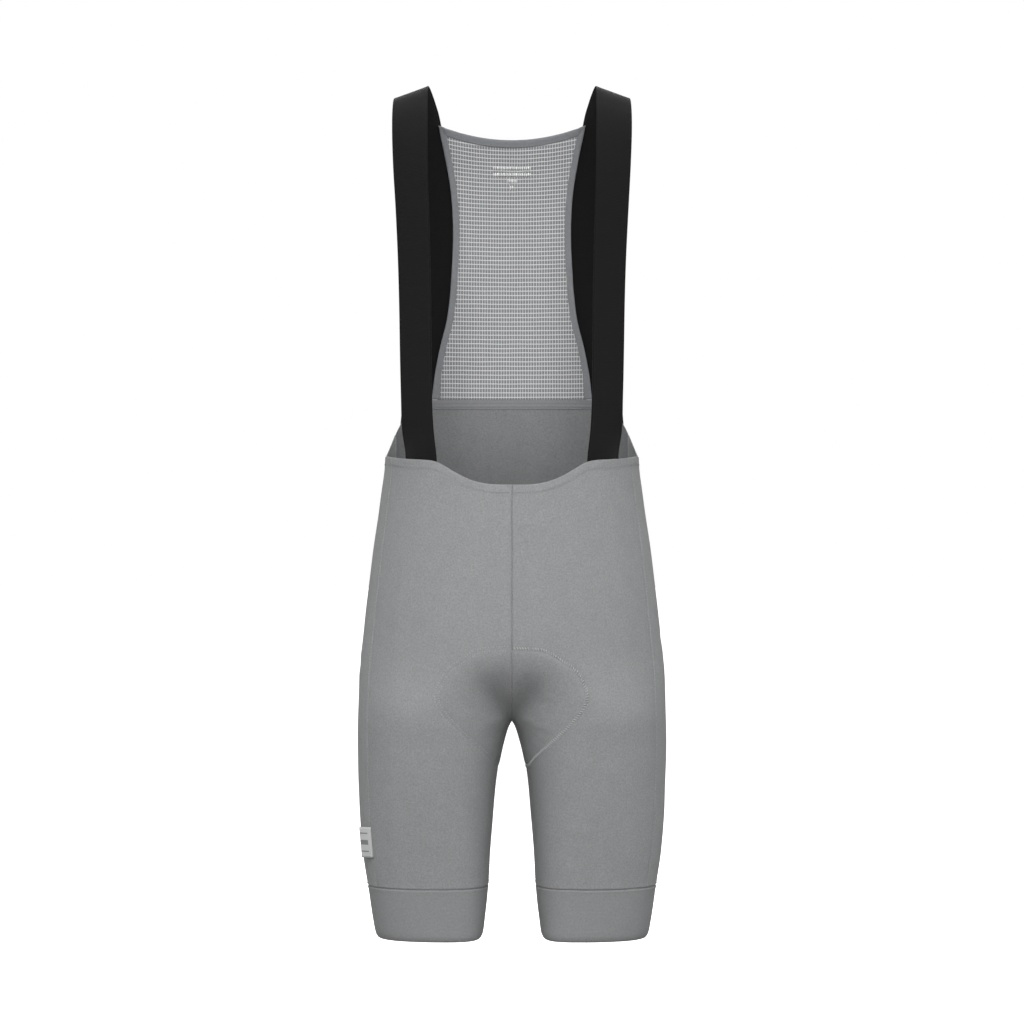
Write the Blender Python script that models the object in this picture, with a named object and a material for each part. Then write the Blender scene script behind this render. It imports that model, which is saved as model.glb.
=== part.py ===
"""Men's cycling bib shorts in their worn shape, hollow, with nobody in them.

Metres, +Z up. The front faces -Y, and +X is the wearer's left. The origin is midway between the
highest points of the two shoulder straps, where the wearer's shoulders hold the garment up.
"down" is always a distance below that level, so a point lies at z = -down.

The front, side and seat panels, the yoke and the grippers are walls cut from one body surface.
It is worked out for the wearer's left half, and the right half is its mirror image. The back
mesh and its bindings lie on the surface of the upper back, and the straps and the pad are made
from points of the surface that they are sewn to, moved off it.
"""

import math
from collections import namedtuple

import bmesh
import bpy
from mathutils import Matrix, Vector

SEAM = 0.0003
CLOTH = 0.0015
MESH_CLOTH = 0.001
TAPE = 0.002
ELASTIC = 0.0016

WAIST = 0.407
YOKE_FOOT = 0.470
SPLIT_START = 0.600
CROTCH = 0.696
GRIPPER_TOP = 0.876
HEM = 0.9342
HEM_TURN = 0.0030

# The trunk at each level: half width, reach forward and back of the side line, and how square
# its section is (2 is an ellipse).
Trunk = namedtuple("Trunk", "down side front back square")
TRUNK = [
    Trunk(0.020, 0.126, 0.060, 0.070, 2.2),
    Trunk(0.050, 0.140, 0.090, 0.087, 2.2),
    Trunk(0.098, 0.150, 0.108, 0.100, 2.3),
    Trunk(0.160, 0.153, 0.114, 0.106, 2.4),
    Trunk(0.260, 0.146, 0.112, 0.103, 2.6),
    Trunk(0.350, 0.1385, 0.108, 0.097, 3.0),
    Trunk(0.407, 0.1390, 0.110, 0.100, 2.6),
    Trunk(0.454, 0.1447, 0.111, 0.106, 2.3),
    Trunk(0.520, 0.1540, 0.112, 0.118, 2.2),
    Trunk(0.586, 0.1617, 0.113, 0.128, 2.2),
    Trunk(0.652, 0.1680, 0.112, 0.128, 2.2),
    Trunk(0.700, 0.1694, 0.110, 0.122, 2.2),
]

# One leg at each level: its outermost and innermost x, and its reach forward and back.
Leg = namedtuple("Leg", "down outer inner front back")
LEG = [
    Leg(0.586, 0.1617, 0.0000, 0.110, 0.112),
    Leg(0.652, 0.1680, 0.0000, 0.106, 0.110),
    Leg(0.696, 0.1694, 0.0000, 0.101, 0.104),
    Leg(0.702, 0.1695, 0.0042, 0.100, 0.103),
    Leg(0.718, 0.1696, 0.0092, 0.097, 0.099),
    Leg(0.738, 0.1693, 0.0139, 0.094, 0.094),
    Leg(0.767, 0.1683, 0.0182, 0.089, 0.087),
    Leg(0.800, 0.1672, 0.0209, 0.083, 0.079),
    Leg(0.838, 0.1640, 0.0240, 0.076, 0.071),
    Leg(0.883, 0.1573, 0.0264, 0.068, 0.063),
    Leg(0.916, 0.1524, 0.0300, 0.063, 0.058),
    Leg(0.934, 0.1485, 0.0330, 0.060, 0.056),
]
LEG_SQUARE = 2.1
LEG_MIDDLE = 0.54
GUSSET_REACH = 16  # the higher, the nearer the middle plane the crotch's own rounding stays
ROUND_LIMIT = 0.999  # how near its side line the trunk's depth can still be read
SLOPE_STEP = 0.002

# A place round the half body is a turn: 0 is the side line, -1 the centre front or the inseam,
# and 1 the centre back or the inseam. LEG_FACE is where the leg reaches furthest forward or back.
SIDE_SEAM = 0.262
LEG_FACE = 0.69

# The top edges, by the distance out from the centre line.
Edge = namedtuple("Edge", "out down")
FRONT_EDGE = [
    Edge(0.000, 0.4376),
    Edge(0.025, 0.4370),
    Edge(0.052, 0.4306),
    Edge(0.067, 0.4216),
    Edge(0.080, 0.4136),
    Edge(0.095, 0.4108),
    Edge(0.115, 0.4095),
    Edge(0.139, 0.4060),
]
BACK_EDGE = [
    Edge(0.000, 0.3500),
    Edge(0.089, 0.3500),
    Edge(0.110, 0.3570),
    Edge(0.1240, 0.3690),
    Edge(0.1302, 0.3810),
    Edge(0.1352, 0.3930),
    Edge(0.139, 0.4060),
]

# The back mesh with its bindings: half width at each level.
Mesh = namedtuple("Mesh", "down half")
MESH = [
    Mesh(0.034, 0.0826),
    Mesh(0.060, 0.0774),
    Mesh(0.098, 0.0700),
    Mesh(0.150, 0.0666),
    Mesh(0.207, 0.0689),
    Mesh(0.245, 0.0727),
    Mesh(0.277, 0.0802),
    Mesh(0.310, 0.0867),
    Mesh(0.350, 0.0887),
]
NECK_CORNER = 0.0345
NECK_DIP = 0.0140
NECK_BINDING = 0.0085
SIDE_BINDING = 0.007
FOOT_BAND = 0.0095
MESH_FOOT = 0.350

# The strap's middle line from its sewn front end over the shoulder: distance down and out, its y,
# how far its width turns round the body, and how far its outer edge leans down. The sewn end
# takes its y from the inside of the front panel.
STRAP_WIDTH = 0.040
Strap = namedtuple("Strap", "down out y turn lean")
SEWN_ROWS = 3
STRAP_FRONT = [
    Strap(0.4260, 0.0990, 0.0, 27, 0),
    Strap(0.4160, 0.0993, 0.0, 27, 0),
    Strap(0.4070, 0.0996, 0.0, 28, 0),
    Strap(0.3800, 0.1006, -0.0815, 31, 0),
    Strap(0.3430, 0.1021, -0.0840, 32, 0),
    Strap(0.3000, 0.1029, -0.0865, 31, 0),
    Strap(0.2450, 0.1036, -0.0890, 30, 0),
    Strap(0.1880, 0.1048, -0.0895, 28, 1),
    Strap(0.1340, 0.1070, -0.0850, 24, 3),
    Strap(0.0880, 0.1092, -0.0740, 18, 6),
    Strap(0.0520, 0.1104, -0.0590, 11, 10),
    Strap(0.0270, 0.1108, -0.0405, 5, 15),
    Strap(0.0115, 0.1106, -0.0210, 0, 19),
    Strap(0.0068, 0.1098, 0.0000, -3, 20),
    Strap(0.0100, 0.1073, 0.0200, -7, 18),
    Strap(0.0190, 0.1034, 0.0400, -12, 14),
    Strap(0.0285, 0.0999, 0.0530, -16, 10),
]
# The same middle line down the back, where it lies on the mesh's binding and on the yoke.
BackStrap = namedtuple("BackStrap", "down out turn lean")
STRAP_BACK = [
    BackStrap(0.040, 0.0965, -20, 7),
    BackStrap(0.066, 0.0873, -18, 2),
    BackStrap(0.098, 0.0790, -16, -2),
    BackStrap(0.150, 0.0752, -15, -3),
    BackStrap(0.207, 0.0775, -16, -2),
    BackStrap(0.277, 0.0895, -21, 3),
    BackStrap(0.340, 0.1040, -30, 16),
    BackStrap(0.378, 0.1085, -32, 26),
]
STRAP_BACK_ROWS = 17
STRAP_CELLS = 4
STRAP_LIFT = 0.0016
STRAP_TUCK = 0.0010

# Lines across half the pad, from its front end to the inseam: where each leaves the centre seam,
# and how far down and round it ends. The seat half is the same, the other way round.
Pad = namedtuple("Pad", "start down turn")
PAD = [
    Pad(0.6130, 0.614, 0.905),
    Pad(0.6180, 0.621, 0.860),
    Pad(0.6270, 0.631, 0.780),
    Pad(0.6400, 0.647, 0.728),
    Pad(0.6550, 0.665, 0.710),
    Pad(0.6690, 0.684, 0.730),
    Pad(0.6800, 0.702, 0.768),
    Pad(0.6880, 0.718, 0.815),
    Pad(0.6935, 0.732, 0.875),
    Pad(0.6955, 0.742, 0.925),
    Pad(0.6960, 0.746, 1.000),
]
PAD_EDGE = 0.002
PAD_MIDDLE = 0.008
PAD_LINES = 13
PAD_CELLS = 6
PAD_CLEARANCE = 0.0030
PAD_END_ROWS = 4  # the pad reaches its full thickness this many rows in from each end

LABEL_DOWN = 0.826
LABEL_SIZE = (0.0150, 0.0335, 0.0012)
LABEL_STEP = 0.01
LABEL_LEAN = 14

FRONT_CELLS = 9
SIDE_CELLS = 4
SEAT_CELLS = 9
YOKE_ROWS = 4
TRUNK_ROWS = 4
CROTCH_ROWS = 8
LEG_ROWS = 9
LEG_SPREAD = 1.5  # the rows lie closer together below the crotch
GRIPPER_ROWS = 4
MESH_ROWS = 10
BACK_CELLS = 10
SHARP_EDGE = 40  # degrees

# name: sRGB colour and roughness
CLOTHS = {
    "main_knit": ((0.56, 0.565, 0.57), 0.85),
    "side_knit": ((0.50, 0.505, 0.51), 0.85),
    "gripper_knit": ((0.51, 0.515, 0.52), 0.85),
    "strap_elastic": ((0.12, 0.115, 0.115), 0.80),
    "back_mesh": ((0.62, 0.625, 0.635), 0.80),
    "binding_knit": ((0.48, 0.49, 0.50), 0.85),
    "pad_foam": ((0.42, 0.43, 0.44), 0.90),
    "woven_label": ((0.80, 0.80, 0.80), 0.70),
}


def read(table, column, at):
    """A column's value where the first column would be at, by a cubic that never overshoots."""
    places = [row[0] for row in table]
    values = [getattr(row, column) for row in table]
    at = min(max(at, places[0]), places[-1])
    slopes = [(v1 - v0) / (p1 - p0) for p0, p1, v0, v1 in zip(places, places[1:], values, values[1:])]
    bends = [slopes[0]]
    for before, after in zip(slopes, slopes[1:]):
        level = before * after <= 0
        bends.append(0.0 if level else 2 * before * after / (before + after))
    bends.append(slopes[-1])
    k = max(i for i in range(len(slopes)) if places[i] <= at)
    step = places[k + 1] - places[k]
    t = (at - places[k]) / step
    return (
        values[k] * (1 + 2 * t) * (1 - t) ** 2
        + values[k + 1] * t * t * (3 - 2 * t)
        + step * t * (1 - t) * (bends[k] * (1 - t) - bends[k + 1] * t)
    )


def bowed(value, square):
    """A sine or cosine raised so that the pair draws a superellipse."""
    return math.copysign(abs(value) ** (2 / square), value)


def leg_angle(turn):
    """Degrees round the leg from its outer side."""
    place = abs(turn)
    if place < LEG_FACE:
        angle = 90 * place / LEG_FACE
    else:
        angle = 90 + 90 * (place - LEG_FACE) / (1 - LEG_FACE)
    return math.copysign(angle, turn)


def body_point(down, turn):
    """The outside of the cloth on the left half: the trunk's section melts into the leg's."""
    square = read(TRUNK, "square", down)
    reach = read(TRUNK, "back", down) if turn > 0 else read(TRUNK, "front", down)
    angle = math.radians(90 * turn)
    trunk_x = read(TRUNK, "side", down) * bowed(max(math.cos(angle), 0.0), square)
    trunk_y = reach * bowed(math.sin(angle), square)
    outer, inner = read(LEG, "outer", down), read(LEG, "inner", down)
    front, back = read(LEG, "front", down), read(LEG, "back", down)
    angle = math.radians(leg_angle(turn))
    middle = LEG_MIDDLE * outer
    across = bowed(math.cos(angle), LEG_SQUARE)
    if across > 0:
        leg_x = middle + (outer - middle) * across
    else:
        leg_x = middle * (1 + across) + inner * across * across
    leg_y = (back - front) / 2 + (back + front) / 2 * bowed(math.sin(angle), LEG_SQUARE)
    depth = min(max((down - SPLIT_START) / (CROTCH - SPLIT_START), 0.0), 1.0)
    fold = (depth * depth * (3 - 2 * depth)) ** 2
    under = 1 - math.sqrt(1 - depth * depth)
    split = fold + (under - fold) * abs(turn) ** GUSSET_REACH
    x = trunk_x + (leg_x - trunk_x) * split
    y = trunk_y + (leg_y - trunk_y) * split
    return Vector((x, y, -down))


def trunk_y(x, down, side):
    """The y of the trunk's outside at one place of its front (-1) or its back (1)."""
    square = read(TRUNK, "square", down)
    reach = read(TRUNK, "back" if side > 0 else "front", down)
    out = min(abs(x) / read(TRUNK, "side", down), ROUND_LIMIT)
    return side * reach * (1 - out**square) ** (1 / square)


def on_trunk(x, down, side, lift):
    """A point at that place, moved out of the cloth by lift, or in where lift is negative."""
    step = SLOPE_STEP
    here = trunk_y(x, down, side)
    slope_x = (trunk_y(x + step, down, side) - trunk_y(x - step, down, side)) / (2 * step)
    slope_z = (trunk_y(x, down - step, side) - trunk_y(x, down + step, side)) / (2 * step)
    out = Vector((-slope_x, 1, -slope_z)).normalized() * side
    return Vector((x, here, -down)) + out * lift


def top_edge(turn):
    """How far down the cloth's top edge is, at one place round the half body."""
    out = body_point(WAIST, turn).x
    return read(BACK_EDGE if turn > 0 else FRONT_EDGE, "down", out)


def row_levels():
    """The levels of the rows below the yoke's foot: trunk, crotch, leg and gripper."""
    levels = [YOKE_FOOT + (SPLIT_START - YOKE_FOOT) * k / TRUNK_ROWS for k in range(TRUNK_ROWS)]
    for k in range(CROTCH_ROWS + 1):
        levels.append(SPLIT_START + (CROTCH - SPLIT_START) * math.sin(math.pi / 2 * k / CROTCH_ROWS))
    for k in range(1, LEG_ROWS + 1):
        levels.append(CROTCH + (GRIPPER_TOP - CROTCH) * (k / LEG_ROWS) ** LEG_SPREAD)
    for k in range(1, GRIPPER_ROWS + 1):
        levels.append(GRIPPER_TOP + (HEM - GRIPPER_TOP) * math.sin(math.pi / 2 * k / GRIPPER_ROWS))
    return levels


def row_turns():
    """The places of a row's points, from the centre front or inseam to the back one."""
    turns = [-1 + (1 - SIDE_SEAM) * k / FRONT_CELLS for k in range(FRONT_CELLS)]
    turns += [-SIDE_SEAM + 2 * SIDE_SEAM * k / SIDE_CELLS for k in range(SIDE_CELLS)]
    turns += [SIDE_SEAM + (1 - SIDE_SEAM) * k / SEAT_CELLS for k in range(SEAT_CELLS + 1)]
    return turns


def body_rows():
    """The left half body as rows of points from the top edge to the hem."""
    rows = []
    turns = row_turns()
    tops = [top_edge(turn) for turn in turns]
    for k in range(YOKE_ROWS):
        downs = [top + (YOKE_FOOT - top) * k / YOKE_ROWS for top in tops]
        rows.append([body_point(down, turn) for down, turn in zip(downs, turns)])
    for down in row_levels():
        rows.append([body_point(down, turn) for turn in turns])
    for point in rows[-1]:
        middle = Vector(((LEG[-1].outer + LEG[-1].inner) / 2, 0, point.z))
        point -= (point - middle).normalized() * HEM_TURN
    return rows


def grid_normals(rows, mirrored_ends=False):
    """The cloth's outward direction at each point. The ends of a body row meet another piece, the
    mirror image above the crotch and the row's own other end below it, so they share its faces."""
    normals = [[Vector() for _ in row] for row in rows]
    for i in range(len(rows) - 1):
        for j in range(len(rows[i]) - 1):
            a, b = rows[i][j], rows[i][j + 1]
            c, d = rows[i + 1][j + 1], rows[i + 1][j]
            face = (c - a).cross(b - d)
            for r, s in ((i, j), (i, j + 1), (i + 1, j + 1), (i + 1, j)):
                normals[r][s] += face
    if mirrored_ends:
        for row, normal in zip(rows, normals):
            if (row[0] - row[-1]).length < SEAM:
                normal[0] = normal[-1] = normal[0] + normal[-1]
            if abs(row[0].x) < SEAM:
                normal[0] = Vector((0, normal[0].y, normal[0].z))
                normal[-1] = Vector((0, normal[-1].y, normal[-1].z))
    return [[normal.normalized() for normal in row] for row in normals]


def trimmed(rows):
    """A copy with every border half a seam back from its neighbour's."""
    back = SEAM / 2
    rows = [[point.copy() for point in row] for row in rows]
    for row, inner in ((rows[0], rows[1]), (rows[-1], rows[-2])):
        for point, towards in zip(row, inner):
            point += (towards - point).normalized() * back
    for row in rows:
        row[0] += (row[1] - row[0]).normalized() * back
        row[-1] += (row[-2] - row[-1]).normalized() * back
    return rows


def moved(rows, normals, lift):
    return [[p + n * lift for p, n in zip(row, normal)] for row, normal in zip(rows, normals)]


def cloth_piece(name, material, outer, inner, ring=False):
    """A closed wall between two grids of points, open or joined into a ring."""
    grid = bmesh.new()
    across = len(outer[0])
    layers = [[[grid.verts.new(p) for p in row] for row in rows] for rows in (outer, inner)]
    spans = [(j, (j + 1) % across) for j in range(across if ring else across - 1)]
    for layer in layers:
        for i in range(len(layer) - 1):
            for j, k in spans:
                grid.faces.new((layer[i][j], layer[i][k], layer[i + 1][k], layer[i + 1][j]))
    for i in (0, len(outer) - 1):
        for j, k in spans:
            grid.faces.new((layers[0][i][j], layers[0][i][k], layers[1][i][k], layers[1][i][j]))
    if not ring:
        for j in (0, across - 1):
            for i in range(len(outer) - 1):
                grid.faces.new(
                    (layers[0][i][j], layers[0][i + 1][j], layers[1][i + 1][j], layers[1][i][j])
                )
    bmesh.ops.recalc_face_normals(grid, faces=grid.faces)
    return add_object(name, material, grid)


def add_object(name, material, grid):
    mesh = bpy.data.meshes.new(name)
    grid.to_mesh(mesh)
    grid.free()
    mesh.shade_smooth()
    mesh.set_sharp_from_angle(angle=math.radians(SHARP_EDGE))
    piece = bpy.data.objects.new(name, mesh)
    bpy.context.scene.collection.objects.link(piece)
    mesh.materials.append(cloth_material(name, material))
    return piece


def cloth_material(name, material):
    colour, roughness = CLOTHS[material]
    made = bpy.data.materials.new(f"{name}_{material}")
    made.use_nodes = True
    shader = made.node_tree.nodes["Principled BSDF"]
    linear = [((c + 0.055) / 1.055) ** 2.4 for c in colour]
    shader.inputs["Base Color"].default_value = (*linear, 1)
    shader.inputs["Roughness"].default_value = roughness
    shader.inputs["Metallic"].default_value = 0
    return made


def mirrored(rows):
    return [[Vector((-p.x, p.y, p.z)) for p in row] for row in rows]


def kept_left(rows):
    """Points kept half a seam clear of the middle plane, where the right half's come to meet it."""
    return [[Vector((max(p.x, SEAM / 2), p.y, p.z)) for p in row] for row in rows]


def body_pieces():
    rows = body_rows()
    normals = grid_normals(rows, mirrored_ends=True)
    side = FRONT_CELLS
    seat = FRONT_CELLS + SIDE_CELLS
    last = seat + SEAT_CELLS
    gripper = YOKE_ROWS + TRUNK_ROWS + CROTCH_ROWS + LEG_ROWS
    panels = {
        "front": ("main_knit", 0, gripper, 0, side),
        "side": ("side_knit", 0, gripper, side, seat),
        "seat": ("main_knit", YOKE_ROWS, gripper, seat, last),
    }
    for name, (material, top, foot, start, end) in panels.items():
        part = [row[start : end + 1] for row in rows[top : foot + 1]]
        outward = [row[start : end + 1] for row in normals[top : foot + 1]]
        outer = kept_left(trimmed(part))
        inner = kept_left(moved(trimmed(part), outward, -CLOTH))
        cloth_piece(f"{name}_left", material, outer, inner)
        cloth_piece(f"{name}_right", material, mirrored(outer), mirrored(inner))

    ring = [row[:-1] for row in rows[gripper:]]
    outward = [row[:-1] for row in normals[gripper:]]
    start = [p + (q - p).normalized() * SEAM / 2 for p, q in zip(ring[0], ring[1])]
    outer = [start, *ring[1:]]
    inner = moved(outer, outward, -CLOTH)
    cloth_piece("gripper_left", "gripper_knit", outer, inner, ring=True)
    cloth_piece("gripper_right", "gripper_knit", mirrored(outer), mirrored(inner), ring=True)

    half = [row[seat:] for row in rows[: YOKE_ROWS + 1]]
    outward = [row[seat:] for row in normals[: YOKE_ROWS + 1]]
    whole = [row + other[-2::-1] for row, other in zip(half, mirrored(half))]
    outward = [row + other[-2::-1] for row, other in zip(outward, mirrored(outward))]
    outer = trimmed(whole)
    cloth_piece("back_yoke", "main_knit", outer, moved(outer, outward, -CLOTH))


def neck_edge(x):
    """How far down the mesh's neck edge is: lowest in the middle."""
    return NECK_CORNER + NECK_DIP * max(1 - (x / MESH[0].half) ** 2, 0)


def mesh_levels(neck):
    """The levels of the mesh's rows in a column that starts at neck. The side bindings share them."""
    start = neck + NECK_BINDING + SEAM
    foot = MESH_FOOT - FOOT_BAND
    return [start + (foot - start) * k / MESH_ROWS for k in range(MESH_ROWS + 1)]


def back_cloth(name, material, columns, levels, outside, inside):
    """A wall on the upper back. Each column is a share of the mesh's half width less an inset, and
    levels gives its rows from where its neck edge is."""
    grids = [[], []]
    for share, inset in columns:
        neck = neck_edge(share * (MESH[0].half - inset))
        for grid, lift in zip(grids, (outside, inside)):
            column = []
            for down in levels(neck):
                column.append(on_trunk(share * (read(MESH, "half", down) - inset), down, 1, lift))
            grid.append(column)
    outer, inner = ([list(row) for row in zip(*grid)] for grid in grids)
    cloth_piece(name, material, outer, inner)


def back_pieces():
    shares = [-1 + 2 * k / BACK_CELLS for k in range(BACK_CELLS + 1)]
    between = [(share, SIDE_BINDING + SEAM) for share in shares]
    full = [(share, 0) for share in shares]
    raised = (TAPE - MESH_CLOTH) / 2
    back_cloth("mesh_back", "back_mesh", between, mesh_levels, 0, -MESH_CLOTH)
    taped = (raised, raised - TAPE)
    back_cloth("binding_top", "binding_knit", between, lambda neck: [neck, neck + NECK_BINDING], *taped)
    for name, sign in (("left", 1), ("right", -1)):
        edge = [(sign, SIDE_BINDING * (1 - k / 2)) for k in range(3)]
        back_cloth(f"binding_{name}", "binding_knit", edge, lambda neck: [neck, *mesh_levels(neck)], *taped)
    foot = [MESH_FOOT - FOOT_BAND + SEAM, MESH_FOOT - SEAM]
    back_cloth("band_bottom", "binding_knit", full, lambda neck: foot, *taped)


def strap_line(at, y=0.0):
    """Points across the strap at one place of its middle line."""
    turn, lean = math.radians(at.turn), math.radians(at.lean)
    across = Vector((math.cos(turn) * math.cos(lean), math.sin(turn) * math.cos(lean), -math.sin(lean)))
    middle = Vector((at.out, y, -at.down))
    return [middle + across * STRAP_WIDTH * (k / STRAP_CELLS - 0.5) for k in range(STRAP_CELLS + 1)]


def strap_rows():
    """The strap's body side as rows of points across it, from the front end to the back one."""
    rows = []
    for at in STRAP_FRONT[:SEWN_ROWS]:
        tuck = -(CLOTH + STRAP_TUCK + ELASTIC)
        rows.append([on_trunk(p.x, -p.z, -1, tuck) for p in strap_line(at)])
    for at in STRAP_FRONT[SEWN_ROWS:]:
        rows.append(strap_line(at, at.y))
    top, foot = STRAP_BACK[0].down, STRAP_BACK[-1].down
    for k in range(STRAP_BACK_ROWS):
        down = top + (foot - top) * k / (STRAP_BACK_ROWS - 1)
        values = [read(STRAP_BACK, column, down) for column in BackStrap._fields[1:]]
        line = strap_line(BackStrap(down, *values))
        rows.append([on_trunk(p.x, -p.z, 1, STRAP_LIFT) for p in line])
    return rows


def strap_pieces():
    rows = strap_rows()
    outer = moved(rows, grid_normals(rows), -ELASTIC)
    cloth_piece("strap_left", "strap_elastic", outer, rows)
    cloth_piece("strap_right", "strap_elastic", mirrored(outer), mirrored(rows))


def pad_half(side):
    """Points on the body's surface, in lines from the centre seam to the pad's outline."""
    rows = []
    for i in range(PAD_LINES + 1):
        start = PAD[0].start + (CROTCH - PAD[0].start) * math.sin(math.pi / 2 * i / PAD_LINES)
        end, turn = read(PAD, "down", start), read(PAD, "turn", start)
        row = []
        for k in range(PAD_CELLS + 1):
            share = k / PAD_CELLS
            row.append(body_point(start + (end - start) * share, side * (1 + (turn - 1) * share)))
        rows.append(row)
    return rows


def pad_piece():
    """One foam pad from the front, under the crotch and up the seat, thin at its stitched edge."""
    left = pad_half(-1) + pad_half(1)[-2::-1]
    rows = [row[:0:-1] + other for row, other in zip(left, mirrored(left))]
    inward = grid_normals(rows)
    near = moved(rows, inward, CLOTH + PAD_CLEARANCE)
    far = []
    for i, (row, normal) in enumerate(zip(near, inward)):
        from_end = min(i, len(rows) - 1 - i) / PAD_END_ROWS
        swell = math.sin(math.pi / 2 * min(from_end, 1))
        line = []
        for k, (point, out) in enumerate(zip(row, normal)):
            share = abs(k - PAD_CELLS) / PAD_CELLS
            thick = PAD_EDGE + (PAD_MIDDLE - PAD_EDGE) * swell * math.cos(math.pi / 2 * share)
            line.append(point + out * thick)
        far.append(line)
    cloth_piece("seat_pad", "pad_foam", far, near)


def label_piece():
    """A folded tab that stands out of the right leg's front side seam."""
    root = body_point(LABEL_DOWN, -SIDE_SEAM)
    along = (body_point(LABEL_DOWN, LABEL_STEP - SIDE_SEAM) - root).normalized()
    up = (body_point(LABEL_DOWN - LABEL_STEP, -SIDE_SEAM) - root).normalized()
    out = along.cross(up).normalized()
    lean = math.radians(LABEL_LEAN)
    reach = along * math.cos(lean) + out * math.sin(lean)
    face = reach.cross(up).normalized()
    length, height, thick = LABEL_SIZE
    centre = root + out * thick + reach * length / 2
    place = Matrix((reach * length, up * height, face * thick)).transposed().to_4x4()
    place.translation = centre
    grid = bmesh.new()
    bmesh.ops.create_cube(grid, size=1, matrix=Matrix.Diagonal((-1, 1, 1, 1)) @ place)
    bmesh.ops.recalc_face_normals(grid, faces=grid.faces)
    add_object("side_label", "woven_label", grid)


def main():
    for thing in list(bpy.data.objects):
        bpy.data.objects.remove(thing)
    body_pieces()
    back_pieces()
    strap_pieces()
    pad_piece()
    label_piece()


main()
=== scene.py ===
import math
from itertools import combinations

import bmesh
import bpy
import numpy as np
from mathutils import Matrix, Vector, noise
from mathutils.bvhtree import BVHTree


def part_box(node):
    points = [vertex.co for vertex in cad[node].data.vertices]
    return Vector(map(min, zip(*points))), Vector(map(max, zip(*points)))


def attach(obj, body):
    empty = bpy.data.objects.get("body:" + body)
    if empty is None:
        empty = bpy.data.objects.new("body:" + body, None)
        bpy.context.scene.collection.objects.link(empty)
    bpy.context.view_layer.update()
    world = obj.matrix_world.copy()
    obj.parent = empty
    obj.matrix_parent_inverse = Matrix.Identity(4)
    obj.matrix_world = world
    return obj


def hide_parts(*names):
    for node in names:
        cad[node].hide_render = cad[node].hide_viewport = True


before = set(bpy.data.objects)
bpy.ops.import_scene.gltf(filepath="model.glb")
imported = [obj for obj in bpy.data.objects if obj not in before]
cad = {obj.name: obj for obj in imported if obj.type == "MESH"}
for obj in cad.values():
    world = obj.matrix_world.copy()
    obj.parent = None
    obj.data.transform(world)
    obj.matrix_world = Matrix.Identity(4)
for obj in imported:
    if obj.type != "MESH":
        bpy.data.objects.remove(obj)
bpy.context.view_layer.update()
bpy.ops.object.select_all(action="DESELECT")
bpy.context.scene.view_settings.view_transform = "Standard"
mm = 0.001
thickRim = 2.3 * mm  # a rim edge is shorter than this on the pad and the folded tapes


def pieceOf(name, points, faces):
    mesh = bpy.data.meshes.new(name)
    mesh.from_pydata(points, [], faces)
    mesh.shade_smooth()
    piece = bpy.data.objects.new(name, mesh)
    bpy.context.scene.collection.objects.link(piece)
    return piece


def facedOut(piece):
    work = bmesh.new()
    work.from_mesh(piece.data)
    bmesh.ops.recalc_face_normals(work, faces=work.faces)
    work.to_mesh(piece.data)
    work.free()
    return piece


# reading the cut panels back out of the CAD walls
wearer = {"legs": -0.70, "legMiddle": 0.085}  # the legs part at this height, each this far from the middle


def skinsOf(name, rimWidth=None):
    # a wall is two skins joined by a rim, and every rim triangle has one side as short as the wall is thick
    wall = bmesh.new()
    wall.from_mesh(cad[name].data)
    bmesh.ops.remove_doubles(wall, verts=wall.verts, dist=0.002 * mm)
    area = sum(face.calc_area() for face in wall.faces)
    rimWidth = rimWidth or 1.15 * 2 * wall.calc_volume() / area
    isRim = {face: any(edge.calc_length() < rimWidth for edge in face.edges) for face in wall.faces}
    seen = set()
    found = []
    for start in wall.faces:
        if start in seen or isRim[start]:
            continue
        seen.add(start)
        queue = [start]
        for face in queue:
            for edge in face.edges:
                for other in edge.link_faces:
                    if other not in seen and not isRim[other]:
                        seen.add(other)
                        queue.append(other)
        found.append(queue)
    found.sort(key=lambda faces: -sum(face.calc_area() for face in faces))
    skins = []
    for faces in found[:2]:
        corners = {}
        ends = {}
        linked = {}
        lean = 0.0
        for face in faces:
            points = [v.index for v in face.verts]
            for loop in face.loops:
                corners[loop.vert.index] = corners.get(loop.vert.index, 0) + loop.calc_angle()
                pair = (loop.vert.index, loop.link_loop_next.vert.index)
                ends[tuple(sorted(pair))] = ends.get(tuple(sorted(pair)), 0) + 1
                linked.setdefault(pair[0], set()).add(pair[1])
                linked.setdefault(pair[1], set()).add(pair[0])
            centre = face.calc_center_median()
            onLeg = centre.z < wearer["legs"]
            axis = Vector((math.copysign(wearer["legMiddle"], centre.x) if onLeg else 0, 0, centre.z))
            lean += face.calc_area() * face.normal.dot((centre - axis).normalized())
        rim = [pair for pair, uses in ends.items() if uses == 1]
        shapes = [[v.index for v in face.verts] for face in faces]
        skins.append({"lean": lean, "corners": corners, "linked": linked, "rim": rim, "faces": shapes})
    skins.sort(key=lambda skin: -skin["lean"])
    places = {v.index: np.array(v.co) for v in wall.verts}
    wall.free()
    return skins, places


def steps(linked, start):
    # how many edges each point is from the start points
    level = {point: 0 for point in start}
    queue = list(start)
    for point in queue:
        for other in linked[point]:
            if other not in level:
                level[other] = level[point] + 1
                queue.append(other)
    return level


def loopsOf(rim):
    after = {}
    for a, b in rim:
        after.setdefault(a, []).append(b)
        after.setdefault(b, []).append(a)
    loops = []
    seen = set()
    for start in after:
        if start in seen:
            continue
        loop = [start]
        seen.add(start)
        while True:
            following = [p for p in after[loop[-1]] if p not in seen]
            if not following:
                break
            loop.append(following[0])
            seen.add(following[0])
        loops.append(loop)
    return loops


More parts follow.
